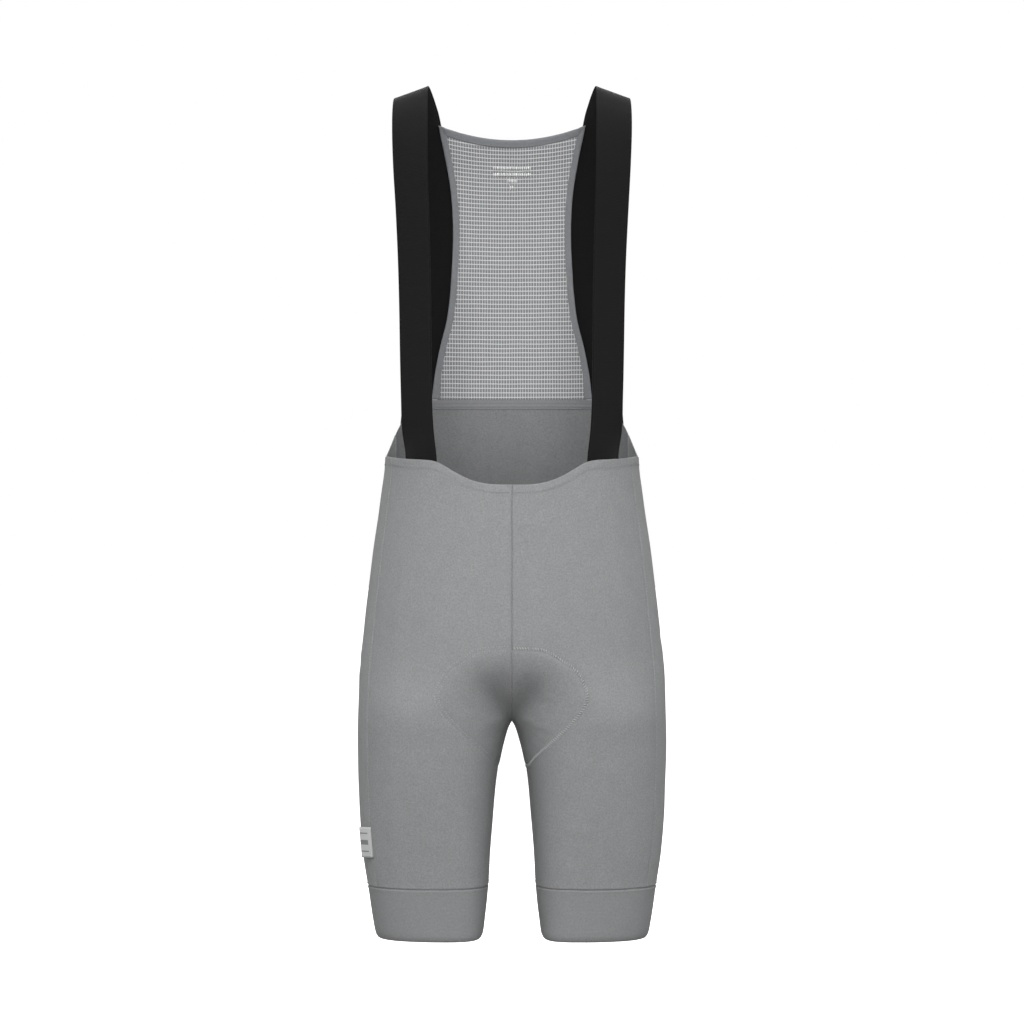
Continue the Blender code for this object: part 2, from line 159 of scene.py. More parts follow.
def cornersOf(loop, corners):
    # the four sharpest points of a rim that leave its opposite sides equally long,
    # with a point at every crossing
    sharpest = sorted(range(len(loop)), key=lambda k: corners[loop[k]])[:12]
    for four in sorted(combinations(sharpest, 4), key=lambda four: sum(corners[loop[k]] for k in four)):
        a, b, c, d = sorted(four)
        down, over = b - a, c - b
        if down == d - c and over == a + len(loop) - d and (down + 1) * (over + 1) == len(corners):
            return [a, b, c, d]


def roundBody(place):
    return math.atan2(abs(place[0]), -place[1])


def gridOf(name, rowAxis=2, rowDown=True, across=roundBody, rimWidth=None):
    # the two skins of an open wall, outside first, each as rows of points
    skins, places = skinsOf(name, rimWidth)
    grids = []
    for skin in skins:
        loop = loopsOf(skin["rim"])[0]
        at = cornersOf(loop, skin["corners"])
        sides = [loop[a : b + 1] for a, b in zip(at, at[1:])] + [loop[at[3] :] + loop[: at[0] + 1]]
        middle = [np.mean([places[p] for p in side], axis=0) for side in sides]
        spans = [abs(middle[k][rowAxis] - middle[k + 2][rowAxis]) for k in (0, 1)]
        first = 0 if spans[0] > spans[1] else 1
        ends = sorted((first, first + 2), key=lambda k: middle[k][rowAxis] * (-1 if rowDown else 1))
        flanks = [1 - first, 3 - first]
        flanks.sort(key=lambda k: np.mean([across(places[p]) for p in sides[k]]))
        rows = steps(skin["linked"], sides[ends[0]])
        columns = steps(skin["linked"], sides[flanks[0]])
        grid = np.zeros((max(rows.values()) + 1, max(columns.values()) + 1, 3))
        for point in rows:
            grid[rows[point], columns[point]] = places[point]
        grids.append(grid)
    return grids


def ringOf(name):
    # the two skins of a tube on the left leg, columns from the inseam round by the front
    skins, places = skinsOf(name)
    grids = []
    for skin in skins:
        loops = loopsOf(skin["rim"])
        top = max(loops, key=lambda loop: np.mean([places[p][2] for p in loop]))
        rows = steps(skin["linked"], top)
        count = max(rows.values()) + 1
        grid = []
        for k in range(count):
            ring = np.array([places[p] for p in rows if rows[p] == k])
            off = ring - ring.mean(axis=0)
            turn = (np.arctan2(-off[:, 1], -off[:, 0]) + 0.06) % (2 * math.pi)
            grid.append(ring[np.argsort(turn)])
        grids.append(np.array(grid))
    return grids


left = {name: gridOf(f"{name}_left")[0] for name in ("front", "side", "seat")}
yoke = gridOf("back_yoke", across=lambda place: -place[0])[0]
ring = ringOf("gripper_left")[0]
print("panels read:", {name: grid.shape[:2] for name, grid in left.items()}, yoke.shape, ring.shape)

# one smooth body surface through the CAD points


def joined():
    # rows from the top edge to the hem, columns from the centre front round the side to the centre back
    rows, seatTop = left["front"].shape[0], yoke.shape[0] - 1
    yokeHalf = yoke[:, : (yoke.shape[1] + 1) // 2]
    sideStart = left["front"].shape[1] - 1
    seatStart = sideStart + left["side"].shape[1] - 1
    last = seatStart + left["seat"].shape[1] - 1
    total = np.zeros((rows + ring.shape[0] - 1, last + 1, 3))
    uses = np.zeros(total.shape[:2] + (1,))
    parts = [
        (0, 0, left["front"]),
        (0, sideStart, left["side"]),
        (seatTop, seatStart, left["seat"]),
        (0, seatStart, yokeHalf),
        (rows - 1, 0, np.concatenate([ring, ring[:, :1]], axis=1)),
    ]
    for row, column, grid in parts:
        window = (slice(row, row + grid.shape[0]), slice(column, column + grid.shape[1]))
        total[window] += grid
        uses[window] += 1
    total /= uses
    gap = np.linalg.norm(total[:, 0] - total[:, last], axis=1)
    crotch = int(np.argmax(gap < 2 * mm))
    total[: crotch + 1, (0, last), 0] = 0
    total[crotch:, 0] = total[crotch:, last] = (total[crotch:, 0] + total[crotch:, last]) / 2
    marks = {"side": sideStart, "seat": seatStart, "last": last, "yokeFoot": seatTop, "gripper": rows - 1}
    marks.update(crotch=crotch, hem=total.shape[0] - 1)
    return total, marks


fineness = 8  # places to one CAD cell


def smoothed(half, marks):
    # a subdivision surface whose cage is moved until the surface passes through the CAD points
    rows, columns = half.shape[:2]
    mesh = bpy.data.meshes.new("bodyCage")
    points = [tuple(p) for p in half.reshape(-1, 3)]
    points += [(-x, y, z) for x, y, z in points]
    faces, places = [], []
    for side in (0, 1):
        for i in range(rows - 1):
            for j in range(columns - 1):
                cell = [(i, j), (i, j + 1), (i + 1, j + 1), (i + 1, j)]
                if not side:
                    cell.reverse()
                faces.append([side * rows * columns + a * columns + b for a, b in cell])
                places += [(b + side * 100, a) for a, b in cell]
    mesh.from_pydata(points, [], faces)
    layer = mesh.uv_layers.new(name="place")
    layer.data.foreach_set("uv", np.array(places, float).ravel())
    work = bmesh.new()
    work.from_mesh(mesh)
    bmesh.ops.remove_doubles(work, verts=work.verts, dist=0.01 * mm)
    work.to_mesh(mesh)
    work.free()
    cage = bpy.data.objects.new("bodyCage", mesh)
    bpy.context.scene.collection.objects.link(cage)
    surface = cage.modifiers.new("surface", "SUBSURF")
    surface.levels = surface.render_levels = int(math.log2(fineness))
    surface.uv_smooth = "NONE"
    wanted = np.array([v.co for v in mesh.vertices])
    aim = wanted.copy()
    for _ in range(6):
        mesh.vertices.foreach_set("co", aim.ravel())
        mesh.update()
        drawn = evaluated(cage)
        aim += wanted - np.array([v.co for v in drawn.vertices[: len(wanted)]])
    mesh.vertices.foreach_set("co", aim.ravel())
    mesh.update()
    drawn = evaluated(cage)
    count = len(drawn.vertices)
    place = np.zeros(len(drawn.loops) * 2)
    drawn.uv_layers["place"].data.foreach_get("uv", place)
    vertex = np.zeros(len(drawn.loops), int)
    drawn.loops.foreach_get("vertex_index", vertex)
    position = np.zeros(count * 3)
    drawn.vertices.foreach_get("co", position)
    normal = np.zeros(count * 3)
    drawn.vertices.foreach_get("normal", normal)
    place = place.reshape(-1, 2)
    mine = place[:, 0] < 50
    column = np.rint(place[mine, 0] * fineness).astype(int)
    row = np.rint(place[mine, 1] * fineness).astype(int)
    fine = np.zeros((rows * fineness - fineness + 1, columns * fineness - fineness + 1, 8))
    fine[row, column, :3] = position.reshape(-1, 3)[vertex[mine]]
    fine[row, column, 3:6] = normal.reshape(-1, 3)[vertex[mine]]
    fine[:, :, 6], fine[:, :, 7] = np.meshgrid(
        np.arange(fine.shape[0]) / fineness, np.arange(fine.shape[1]) / fineness, indexing="ij"
    )
    bpy.data.objects.remove(cage)
    return fine


def evaluated(piece):
    return piece.evaluated_get(bpy.context.evaluated_depsgraph_get()).to_mesh()


half, marks = joined()
body = smoothed(half, marks)
print("body surface:", body.shape, marks)

# laying out a panel: fine rows of points, in mm, beside its seams and hems, wider ones between

seamSteps = [0.0, 0.35, 0.8, 1.3, 1.9, 2.6, 3.5, 5.0]
hemSteps = [0.0, 0.35, 0.9, 2.0, 4.5, 7.2, 8.4, 9.2, 10.0, 11.4, 13.4]
openSteps = [0.0, 0.3, 0.8, 1.6, 3.0]
clothCell = 3.6 * mm
panelMake = {"thickness": 1.1 * mm, "uneven": 0.35 * mm, "unevenSize": 0.045}


def runOf(curve):
    return np.r_[0, np.cumsum(np.linalg.norm(np.diff(curve[:, :3], axis=0), axis=1))]


def resampled(curve, first, final, count):
    run = runOf(curve)
    first, final = np.array(first) * mm, np.array(final) * mm
    between = np.linspace(first[-1], run[-1] - final[-1], count + 1)
    stations = np.r_[first[:-1], between]
    if len(final) > 1:
        stations = np.r_[stations, run[-1] - final[-2::-1]]
    return np.stack([np.interp(stations, run, curve[:, k]) for k in range(curve.shape[1])], axis=1)


def panelPoints(patch, top, foot, start, end, cell=clothCell):
    # the patch's channels at the new rows and columns, and each one's distance from the four borders
    def cells(lines, first, final):
        length = np.mean([runOf(line)[-1] for line in lines])
        return max(int(round((length - (first[-1] + final[-1]) * mm) / cell)), 1)

    down = cells(patch.transpose(1, 0, 2), top, foot)
    tall = np.stack([resampled(patch[:, j], top, foot, down) for j in range(patch.shape[1])], axis=1)
    over = cells(tall, start, end)
    grid = np.stack([resampled(row, start, end, over) for row in tall])

    def fromEdge(first, final, count):
        near, back = np.ones(count), np.ones(count)
        near[: len(first)] = np.array(first) * mm
        back[count - len(final) :] = np.array(final)[::-1] * mm
        return near, back

    topRun, footRun = fromEdge(top, foot, grid.shape[0])
    startRun, endRun = fromEdge(start, end, grid.shape[1])
    shape = grid.shape[:2]
    edges = {
        "top": np.broadcast_to(topRun[:, None], shape),
        "foot": np.broadcast_to(footRun[:, None], shape),
        "start": np.broadcast_to(startRun[None, :], shape),
        "end": np.broadcast_to(endRun[None, :], shape),
    }
    return grid, edges


def bump(distance, middle, width):
    return np.exp(-(((distance - middle * mm) / (width * mm)) ** 2))


def seamDip(distance):
    # the cut edge rolls down into the seam, and the seam allowance under it makes a low ridge beside it
    return mm * (-0.85 * bump(distance, 0, 0.75) + 0.14 * bump(distance, 2.7, 1.3))


def hemStep(distance):
    # the turned hem lies double, and its stitch line pulls in
    lying = 1 / (1 + np.exp(np.clip((distance - 9.3 * mm) / (0.35 * mm), -40, 40)))
    return mm * (0.16 * lying - 0.16 * bump(distance, 9.0, 0.6) - 0.35 * bump(distance, 0, 0.5))


def meshGrid(name, points, flip=False, closed=False):
    # a sheet object from rows of points, with a UV map in metres along the cloth
    rows, columns = points.shape[:2]
    span = columns if closed else columns - 1
    i, j = np.meshgrid(np.arange(rows - 1), np.arange(span), indexing="ij")
    k = (j + 1) % columns
    above, below = i * columns, (i + 1) * columns
    faces = np.stack([above + j, below + j, below + k, above + k], axis=-1).reshape(-1, 4)
    wide = np.cumsum(np.r_[0, np.linalg.norm(np.diff(points, axis=1), axis=2).mean(axis=0)])
    if closed:
        wide = np.r_[wide, wide[-1] + np.linalg.norm(points[:, 0] - points[:, -1], axis=1).mean()]
    tall = np.cumsum(np.r_[0, np.linalg.norm(np.diff(points, axis=0), axis=2).mean(axis=1)])
    corners = ((j, i), (j, i + 1), (j + 1, i + 1), (j + 1, i))
    uvs = np.stack([np.stack([wide[a], tall[b]], axis=-1) for a, b in corners], axis=2).reshape(-1, 4, 2)
    if flip:
        faces, uvs = faces[:, ::-1], uvs[:, ::-1]
    piece = pieceOf(name, points.reshape(-1, 3).tolist(), faces.tolist())
    piece.data.uv_layers.new(name="cloth").data.foreach_set("uv", uvs.ravel())
    return piece


def applied(piece, kind, **settings):
    modifier = piece.modifiers.new(kind, kind)
    for key, value in settings.items():
        setattr(modifier, key, value)
    bpy.context.view_layer.objects.active = piece
    piece.select_set(True)
    bpy.ops.object.modifier_apply(modifier=modifier.name)
    piece.select_set(False)
    return piece


def walled(piece, thickness):
    return applied(piece, "SOLIDIFY", thickness=thickness, offset=-1.0, use_even_offset=True)


def mirrorOf(grid):
    # the same channels on the wearer's right: x and the normal's x change sign
    turned = grid.copy()
    turned[..., (0, 3)] *= -1
    return turned


creases = {
    "left": [
        # rows and columns of the CAD walls, width and depth in mm; a negative depth is a ridge
        ([(2.5, 6.2), (7, 6.4), (12, 6.1), (16, 5.6)], 7.0, -0.40),
        ([(14.2, 8.3), (15.0, 7.0), (15.8, 5.9)], 5.0, 0.50),
        ([(18.7, 3.1), (19.0, 4.6), (18.5, 6.4)], 4.5, 0.40),
        ([(22.4, 2.0), (22.8, 4.1), (22.5, 6.0)], 6.0, -0.35),
        ([(14.2, 20.8), (13.0, 18.4), (11.2, 16.0)], 8.0, 0.90),
        ([(16.4, 20.9), (16.9, 18.6), (17.0, 16.2), (16.2, 14.4)], 7.0, 1.30),
        ([(20.1, 15.4), (20.7, 17.6), (20.5, 20.2)], 6.0, 0.80),
        ([(21.8, 19.8), (21.9, 17.4), (21.2, 14.6)], 5.0, 0.55),
        ([(7.6, 9.8), (8.4, 11.2), (8.6, 12.8), (8.0, 14.6)], 6.5, 0.50),
        ([(1.7, 15.4), (2.3, 18.0), (2.2, 20.6)], 7.0, 0.60),
        ([(5.4, 14.2), (6.1, 16.6), (6.0, 19.2)], 8.0, 0.55),
    ],
    "right": [
        ([(2.2, 6.0), (6.5, 6.5), (11, 6.3), (17, 5.4)], 7.5, -0.42),
        ([(13.6, 8.5), (14.6, 7.5), (15.0, 6.6)], 5.5, 0.35),
        ([(20.2, 5.6), (20.6, 7.0), (20.3, 8.3)], 5.0, 0.35),
        ([(23.0, 1.6), (23.2, 3.4), (22.9, 5.2)], 6.5, -0.32),
        ([(13.7, 21.2), (12.2, 19.0), (10.8, 17.2)], 7.5, 0.75),
        ([(16.2, 21.2), (16.8, 19.4), (17.2, 17.0), (16.9, 14.8)], 8.0, 1.15),
        ([(19.5, 14.8), (20.1, 17.0), (20.3, 19.0)], 5.5, 0.70),
        ([(22.4, 20.4), (22.2, 18.2), (22.6, 16.4)], 5.5, 0.50),
        ([(9.4, 9.6), (10.0, 11.4), (9.6, 13.2)], 6.0, 0.45),
        ([(2.4, 14.6), (2.6, 16.4), (3.1, 18.6)], 7.5, 0.50),
        ([(6.6, 15.0), (7.4, 17.8), (7.1, 20.4)], 8.5, 0.60),
    ],
}


def bodyPoint(row, column, side="left"):
    a = np.clip(row * fineness, 0, body.shape[0] - 1.001)
    b = np.clip(column * fineness, 0, body.shape[1] - 1.001)
    i, j = int(a), int(b)
    s, t = a - i, b - j
    here, beside = (body[i, k] * (1 - s) + body[i + 1, k] * s for k in (j, j + 1))
    point = here * (1 - t) + beside * t
    return point if side == "left" else mirrorOf(point)


def distanceTo(path, points):
    # each point's distance to a path, and how far along the path that is, from 0 to 1
    best, along = np.full(len(points), 1e9), np.zeros(len(points))
    run = runOf(path)
    for k in range(len(path) - 1):
        step = path[k + 1] - path[k]
        t = np.clip((points - path[k]) @ step / (step @ step), 0, 1)
        off = np.linalg.norm(points - path[k] - t[:, None] * step, axis=1)
        nearer = off < best
        best[nearer] = off[nearer]
        along[nearer] = (run[k] + t[nearer] * (run[k + 1] - run[k])) / run[-1]
    return best, along


def curved(places, side, count=14):
    # a crease's places joined by a smooth line on the body
    places = np.array(places, float)
    at = np.linspace(0, len(places) - 1, count)
    line = []
    for value in at:
        k = min(int(value), len(places) - 2)
        before, after = places[max(k - 1, 0)], places[min(k + 2, len(places) - 1)]
        a, b, t = places[k], places[k + 1], value - k
        slopeA, slopeB = (b - before) / 2, (after - a) / 2
        here = (2 * t**3 - 3 * t**2 + 1) * a + (t**3 - 2 * t**2 + t) * slopeA
        here += (3 * t**2 - 2 * t**3) * b + (t**3 - t**2) * slopeB
        line.append(bodyPoint(here[0], here[1], side)[:3])
    return np.array(line)


def creased(points, side):
    lift = np.zeros(len(points))
    for places, width, depth in creases[side]:
        away, along = distanceTo(curved(places, side), points)
        taper = np.sin(math.pi * np.clip(along, 0, 1)) ** 0.8
        wide = width * mm * (0.7 + 0.3 * taper)
        shoulder = 0.35 * np.exp(-(((away - 1.9 * wide) / wide) ** 2))
        lift -= depth * mm * taper * (np.exp(-((away / wide) ** 2)) - shoulder)
    return lift


def unevenness(points, size, depth, seed):
    shift = Vector((seed * 7.3, seed * 3.1, seed * 5.7))
    return np.array([noise.noise(Vector(p) / size + shift) for p in points]) * depth


def splined(points, at, run=None):
    # a smooth line, or lines side by side, through rows of points, read at distances along them
    if run is None:
        steps = np.linalg.norm(np.diff(points[..., :3], axis=0), axis=-1)
        run = np.r_[0, np.cumsum(steps.reshape(len(steps), -1).mean(axis=1))]
    gaps = np.diff(run).reshape((-1,) + (1,) * (points.ndim - 1))
    slopes = np.diff(points, axis=0) / gaps
    inner = (slopes[:-1] * gaps[1:] + slopes[1:] * gaps[:-1]) / (gaps[:-1] + gaps[1:])
    tangents = np.concatenate([slopes[:1], inner, slopes[-1:]])
    at = np.asarray(at, float)
    k = np.clip(np.searchsorted(run, at, side="right") - 1, 0, len(run) - 2)
    shape = (-1,) + (1,) * (points.ndim - 1)
    step = (run[k + 1] - run[k]).reshape(shape)
    t = ((at - run[k]) / (run[k + 1] - run[k])).reshape(shape)
    return (
        (2 * t**3 - 3 * t**2 + 1) * points[k]
        + (t**3 - 2 * t**2 + t) * step * tangents[k]
        + (3 * t**2 - 2 * t**3) * points[k + 1]
        + (t**3 - t**2) * step * tangents[k + 1]
    )


def lengthOf(points):
    steps = np.linalg.norm(np.diff(points[..., :3], axis=0), axis=-1)
    return steps.reshape(len(steps), -1).mean(axis=1).sum()


def widened(grid, rows, columns):
    # a CAD grid read at finer rows and columns, each given as shares of its length
    tall = splined(grid, np.asarray(rows) * lengthOf(grid))
    across = tall.transpose(1, 0, 2)
    return splined(across, np.asarray(columns) * lengthOf(across)).transpose(1, 0, 2)


def normalsOf(points):
    down = np.gradient(points, axis=0)
    over = np.gradient(points, axis=1)
    normal = np.cross(down, over)
    return normal / np.linalg.norm(normal, axis=2, keepdims=True)


def treeOf(*pieces):
    # a search tree of some pieces' faces, to lay stitches on
    points, faces = [], []
    for piece in pieces:
        start = len(points)
        points += [v.co.copy() for v in piece.data.vertices]
        faces += [[start + k for k in face.vertices] for face in piece.data.polygons]
    return BVHTree.FromPolygons(points, faces)


# the foam pad presses the cloth out, and the stitching round it pulls the cloth in
padSkins, padPlaces = skinsOf("seat_pad", thickRim)
padIndex = {point: k for k, point in enumerate(padSkins[0]["corners"])}
padTree = BVHTree.FromPolygons(
    [Vector(padPlaces[point]) for point in padIndex],
    [[padIndex[point] for point in face] for face in padSkins[0]["faces"]],
)
halfFine = body[::2, ::2]
bodyFaces = []
for side in (0, 1):
    rows, columns = halfFine.shape[:2]
    for i in range(rows - 1):
        for j in range(columns - 1):
            k = side * rows * columns + i * columns + j
            bodyFaces.append([k, k + columns, k + columns + 1, k + 1])
bodyTree = BVHTree.FromPolygons(
    [Vector(p) for p in np.concatenate([halfFine, mirrorOf(halfFine)])[..., :3].reshape(-1, 3)], bodyFaces
)
padRim = max(loopsOf(padSkins[0]["rim"]), key=len)
padRim = np.array([padPlaces[point] for point in padRim])
padRim = np.concatenate([padRim[-2:], padRim, padRim[:3]])
padRun = runOf(padRim)
padEdge = splined(padRim, np.linspace(padRun[2], padRun[-3], 241))
padEdge = np.array([bodyTree.find_nearest(Vector(p))[0] for p in padEdge])
padGap = 4.5 * mm


def padPressed(points):
    away, _ = distanceTo(padEdge, points)
    near = away < 90 * mm
    inside = np.zeros(len(points), bool)
    for k in np.flatnonzero(near):
        found = padTree.find_nearest(Vector(points[k]), padGap * 1.6)
        inside[k] = found[0] is not None and found[3] < padGap * 1.12
    into = np.where(inside, away, -away)
    rise = 1 / (1 + np.exp(np.clip(-(into - 2.5 * mm) / (1.2 * mm), -40, 40)))
    return mm * (0.9 * rise - 0.75 * bump(away, 0, 2.0))


panels = {}
panelCuts = {
    # first and last row, first and last column of the body surface
    "front": (0, marks["gripper"], 0, marks["side"]),
    "side": (0, marks["gripper"], marks["side"], marks["seat"]),
    "seat": (marks["yokeFoot"], marks["gripper"], marks["seat"], marks["last"]),
}


def patchOf(cut):
    r0, r1, c0, c1 = (k * fineness for k in cut)
    return body[r0 : r1 + 1, c0 : c1 + 1]


def shaped(grid, edges, side, profile, onPad=False):
    points = grid[..., :3].reshape(-1, 3)
    seed = 1 if side == "left" else 2
    lift = creased(points, side) + unevenness(points, panelMake["unevenSize"], panelMake["uneven"], seed)
    if onPad:
        lift += padPressed(points)
    lift = lift.reshape(grid.shape[:2]) + profile(edges)
    return grid[..., :3] + grid[..., 3:6] * lift[..., None]


def panelProfile(name):
    def profile(edges):
        sides = seamDip(edges["start"]) + seamDip(edges["end"]) + seamDip(edges["foot"])
        return sides + (seamDip(edges["top"]) if name == "seat" else hemStep(edges["top"]))

    return profile


def gripperProfile(edges):
    return seamDip(edges["top"]) - mm * 0.6 * bump(edges["foot"], 0, 0.8)


for name, cut in panelCuts.items():
    top = seamSteps if name == "seat" else hemSteps
    grid, edges = panelPoints(patchOf(cut), top, seamSteps, seamSteps, seamSteps)
    for side in ("left", "right"):
        sided = grid if side == "left" else mirrorOf(grid)
        points = shaped(sided, edges, side, panelProfile(name), onPad=name != "side")
        cloth = meshGrid(f"{name}Panel_{side}", points, flip=side == "right")
        panels[f"{name}_{side}"] = walled(cloth, panelMake["thickness"])

yokePatch = patchOf((0, marks["yokeFoot"], marks["seat"], marks["last"]))
yokePatch = np.concatenate([yokePatch, mirrorOf(yokePatch)[:, -2::-1]], axis=1)
grid, edges = panelPoints(yokePatch, seamSteps, seamSteps, seamSteps, seamSteps)
points = grid[..., :3].reshape(-1, 3)
lift = np.where(points[:, 0] > 0, creased(points, "left"), creased(points, "right"))
lift = (lift + unevenness(points, panelMake["unevenSize"], panelMake["uneven"], 3)).reshape(grid.shape[:2])
for edge in edges.values():
    lift = lift + seamDip(edge)
cloth = meshGrid("backYoke", grid[..., :3] + grid[..., 3:6] * lift[..., None])
panels["yoke"] = walled(cloth, panelMake["thickness"])

legEnd = patchOf((marks["gripper"], marks["hem"], 0, marks["last"]))
grid, edges = panelPoints(legEnd, seamSteps, openSteps, [0.0], [0.0])
grid, edges = grid[:, :-1], {key: edge[:, :-1] for key, edge in edges.items()}
for side in ("left", "right"):
    sided = grid if side == "left" else mirrorOf(grid)
    points = shaped(sided, edges, side, gripperProfile)
    cloth = meshGrid(f"legGripper_{side}", points, flip=side == "right", closed=True)
    panels[f"gripper_{side}"] = walled(cloth, panelMake["thickness"])
print("panels cut:", {name: len(piece.data.polygons) for name, piece in panels.items()})

# straps: woven elastic 40 mm wide

strapMake = {"thickness": 1.3 * mm, "selvedge": 0.18 * mm, "waver": 0.5 * mm, "cell": 3.2 * mm}


def strapPoints(side):
    grid = gridOf(f"strap_{side}", rowAxis=1, rowDown=False, across=lambda place: abs(place[0]))[0]
    length, width = lengthOf(grid), lengthOf(grid.transpose(1, 0, 2))
    rows = np.linspace(0, 1, int(length / strapMake["cell"]))
    across = np.array([0, 0.4, 0.9, 1.5, 2.2, 3.0, 4.5, 7, 10, 13, 16, 20]) * mm / width
    across = np.r_[across, (1 - across[:-1])[::-1]]
    points = widened(grid, rows, across)
    normals = normalsOf(points)
    if side == "left":
        normals = -normals
    edge = np.minimum(across, 1 - across) * width
    lift = strapMake["selvedge"] * (bump(edge, 1.3, 0.8) - 1.6 * bump(edge, 0, 0.5))[None, :]
    seed = 5 if side == "left" else 9
    ends = np.clip(np.minimum(rows, 1 - rows) / 0.06, 0, 1)[:, None]
    waver = unevenness(points.reshape(-1, 3), 0.06, strapMake["waver"], seed).reshape(points.shape[:2])
    return points + normals * (lift + waver * ends)[..., None]


straps = {}
for side in ("left", "right"):
    woven = meshGrid(f"shoulderStrap_{side}", strapPoints(side), flip=side == "left")
    straps[side] = walled(woven, strapMake["thickness"])
print("straps:", [len(piece.data.polygons) for piece in straps.values()])

# the back mesh, its folded bindings and the band at its foot

backMake = {"ground": 0.5 * mm, "under": 3.0 * mm, "tape": 0.45 * mm}
meshOuter = gridOf("mesh_back", across=lambda place: -place[0])[0]
shares = np.linspace(0, 1, 91), np.linspace(0, 1, 57)
ground = widened(meshOuter, *shares)
groundNormals = normalsOf(ground)
# the ground cloth runs on under the bindings
for lines in (ground.transpose(1, 0, 2), ground):
    for edge, inner in ((0, 1), (-1, -2)):
        outward = lines[edge] - lines[inner]
        lines[edge] += outward / np.linalg.norm(outward, axis=1, keepdims=True) * backMake["under"]
waver = unevenness(ground.reshape(-1, 3), 0.07, 0.5 * mm, 11).reshape(ground.shape[:2])
ground = ground + groundNormals * (waver - 0.25 * mm)[..., None]
meshCloth = walled(meshGrid("backMeshGround", ground), backMake["ground"])
meshTree = treeOf(meshCloth)

# across the tape from its inner edge: how far over, and how far proud of the mesh
tapeFold = [
    (0.0, 0.25), (0.25, 0.5), (1.2, 0.62), (2.2, 0.5), (3.4, 0.66), (5.0, 0.62), (6.2, 0.5), (6.8, 0.1),
    (7.0, -0.5),
    (6.8, -1.1), (6.2, -1.5), (5.0, -1.62), (3.4, -1.66), (2.2, -1.5), (1.2, -1.62), (0.25, -1.5), (0.0, -1.25),
]


def foldedTape(name, inner, outer, normals, flip=False):
    # a tape folded over the cloth's edge, between its inner edge and its free one
    length = lengthOf(inner[:, None])
    at = np.linspace(0, length, max(int(length / (2.4 * mm)), 2))
    run = np.linspace(0, length, len(inner))
    inner, outer, normals = (splined(line, at, run) for line in (inner, outer, normals))
    width = outer - inner
    full = tapeFold[8][0]
    lines = [inner + width * (over / full) + normals * (proud * mm) for over, proud in tapeFold]
    return walled(meshGrid(name, np.stack(lines, axis=1), flip=flip), backMake["tape"])


def tapeLines(name, across):
    # the tape's middle surface, at the mesh's own outer face, and its outward direction
    outer, inner = gridOf(name, across=across, rimWidth=thickRim)
    out = outer - inner
    out /= np.linalg.norm(out, axis=2, keepdims=True)
    return outer - out * 0.5 * mm, out


tapes = {}
for side in ("left", "right"):
    lines, out = tapeLines(f"binding_{side}", lambda place: -abs(place[0]))
    low = np.clip((-0.31 - lines[:, 0, 2]) / 0.03, 0, 1)[:, None]
    free = lines[:, 0] + (lines[:, 0] - lines[:, -1]) * low * 0.3
    tapes[side] = foldedTape(f"armholeBinding_{side}", lines[:, -1], free, out[:, 1], flip=side == "left")
crossing = {}
for name, reach in (("binding_top", 0.2), ("band_bottom", 0.28)):
    # the ends run on a little, under the tapes that they meet
    lines, out = crossing[name] = tapeLines(name, lambda place: -place[0])
    for end, inner in ((0, 1), (-1, -2)):
        lines[:, end] += (lines[:, end] - lines[:, inner]) * reach
lines, out = crossing["binding_top"]
tapes["neck"] = foldedTape("neckBinding", lines[1], lines[0], out[0])
lines, out = crossing["band_bottom"]
low = lines[1] + (lines[1] - lines[0]) * 0.16
tapes["band"] = foldedTape("ribbedBand", lines[0], low, out[0], flip=True)
print("tapes:", {name: len(piece.data.polygons) for name, piece in tapes.items()})

yarnMake = {
    "apart": 3.05 * mm,
    "rowPitch": 5.05 * mm,
    "rowPitchLess": 0.45 * mm,
    "sag": 9.0 * mm,
    "sagFades": 85 * mm,
    "row": (0.60 * mm, 0.50 * mm),
    "rowKnot": (0.86 * mm, 0.62 * mm),
    "upright": (0.43 * mm, 0.42 * mm),
    "jitter": 0.16 * mm,
}


def ribbons(name, threads, sides=6):
    # flattened closed tubes in one object; a thread is its points, its across and out directions,
    # and its half width and half height
    points, faces = [], []
    count = 0
    turn = np.arange(sides) * 2 * math.pi / sides
    for line, over, out, wide, tall in threads:
        rings = line[:, None] + over[:, None] * (np.cos(turn)[None, :, None] * wide[:, None, None])
        rings = rings + out[:, None] * (np.sin(turn)[None, :, None] * tall[:, None, None])
        points.append(rings.reshape(-1, 3))
        total = len(line)
        for k in range(total - 1):
            here, after = count + k * sides, count + (k + 1) * sides
            for n in range(sides):
                m = (n + 1) % sides
                faces.append((here + n, here + m, after + m, after + n))
        faces.append(tuple(count + n for n in reversed(range(sides))))
        faces.append(tuple(count + (total - 1) * sides + n for n in range(sides)))
        count += total * sides
    return facedOut(pieceOf(name, np.concatenate(points).tolist(), faces))


def onMesh(x, z):
    # the middle of the ground cloth, and the way out of it, or nothing where the cloth ends
    found = meshTree.ray_cast(Vector((x, 0, z)), Vector((0, 1, 0)))
    if found[0] is None:
        return None
    out = -found[1]
    return found[0] + out * backMake["ground"] / 2, out


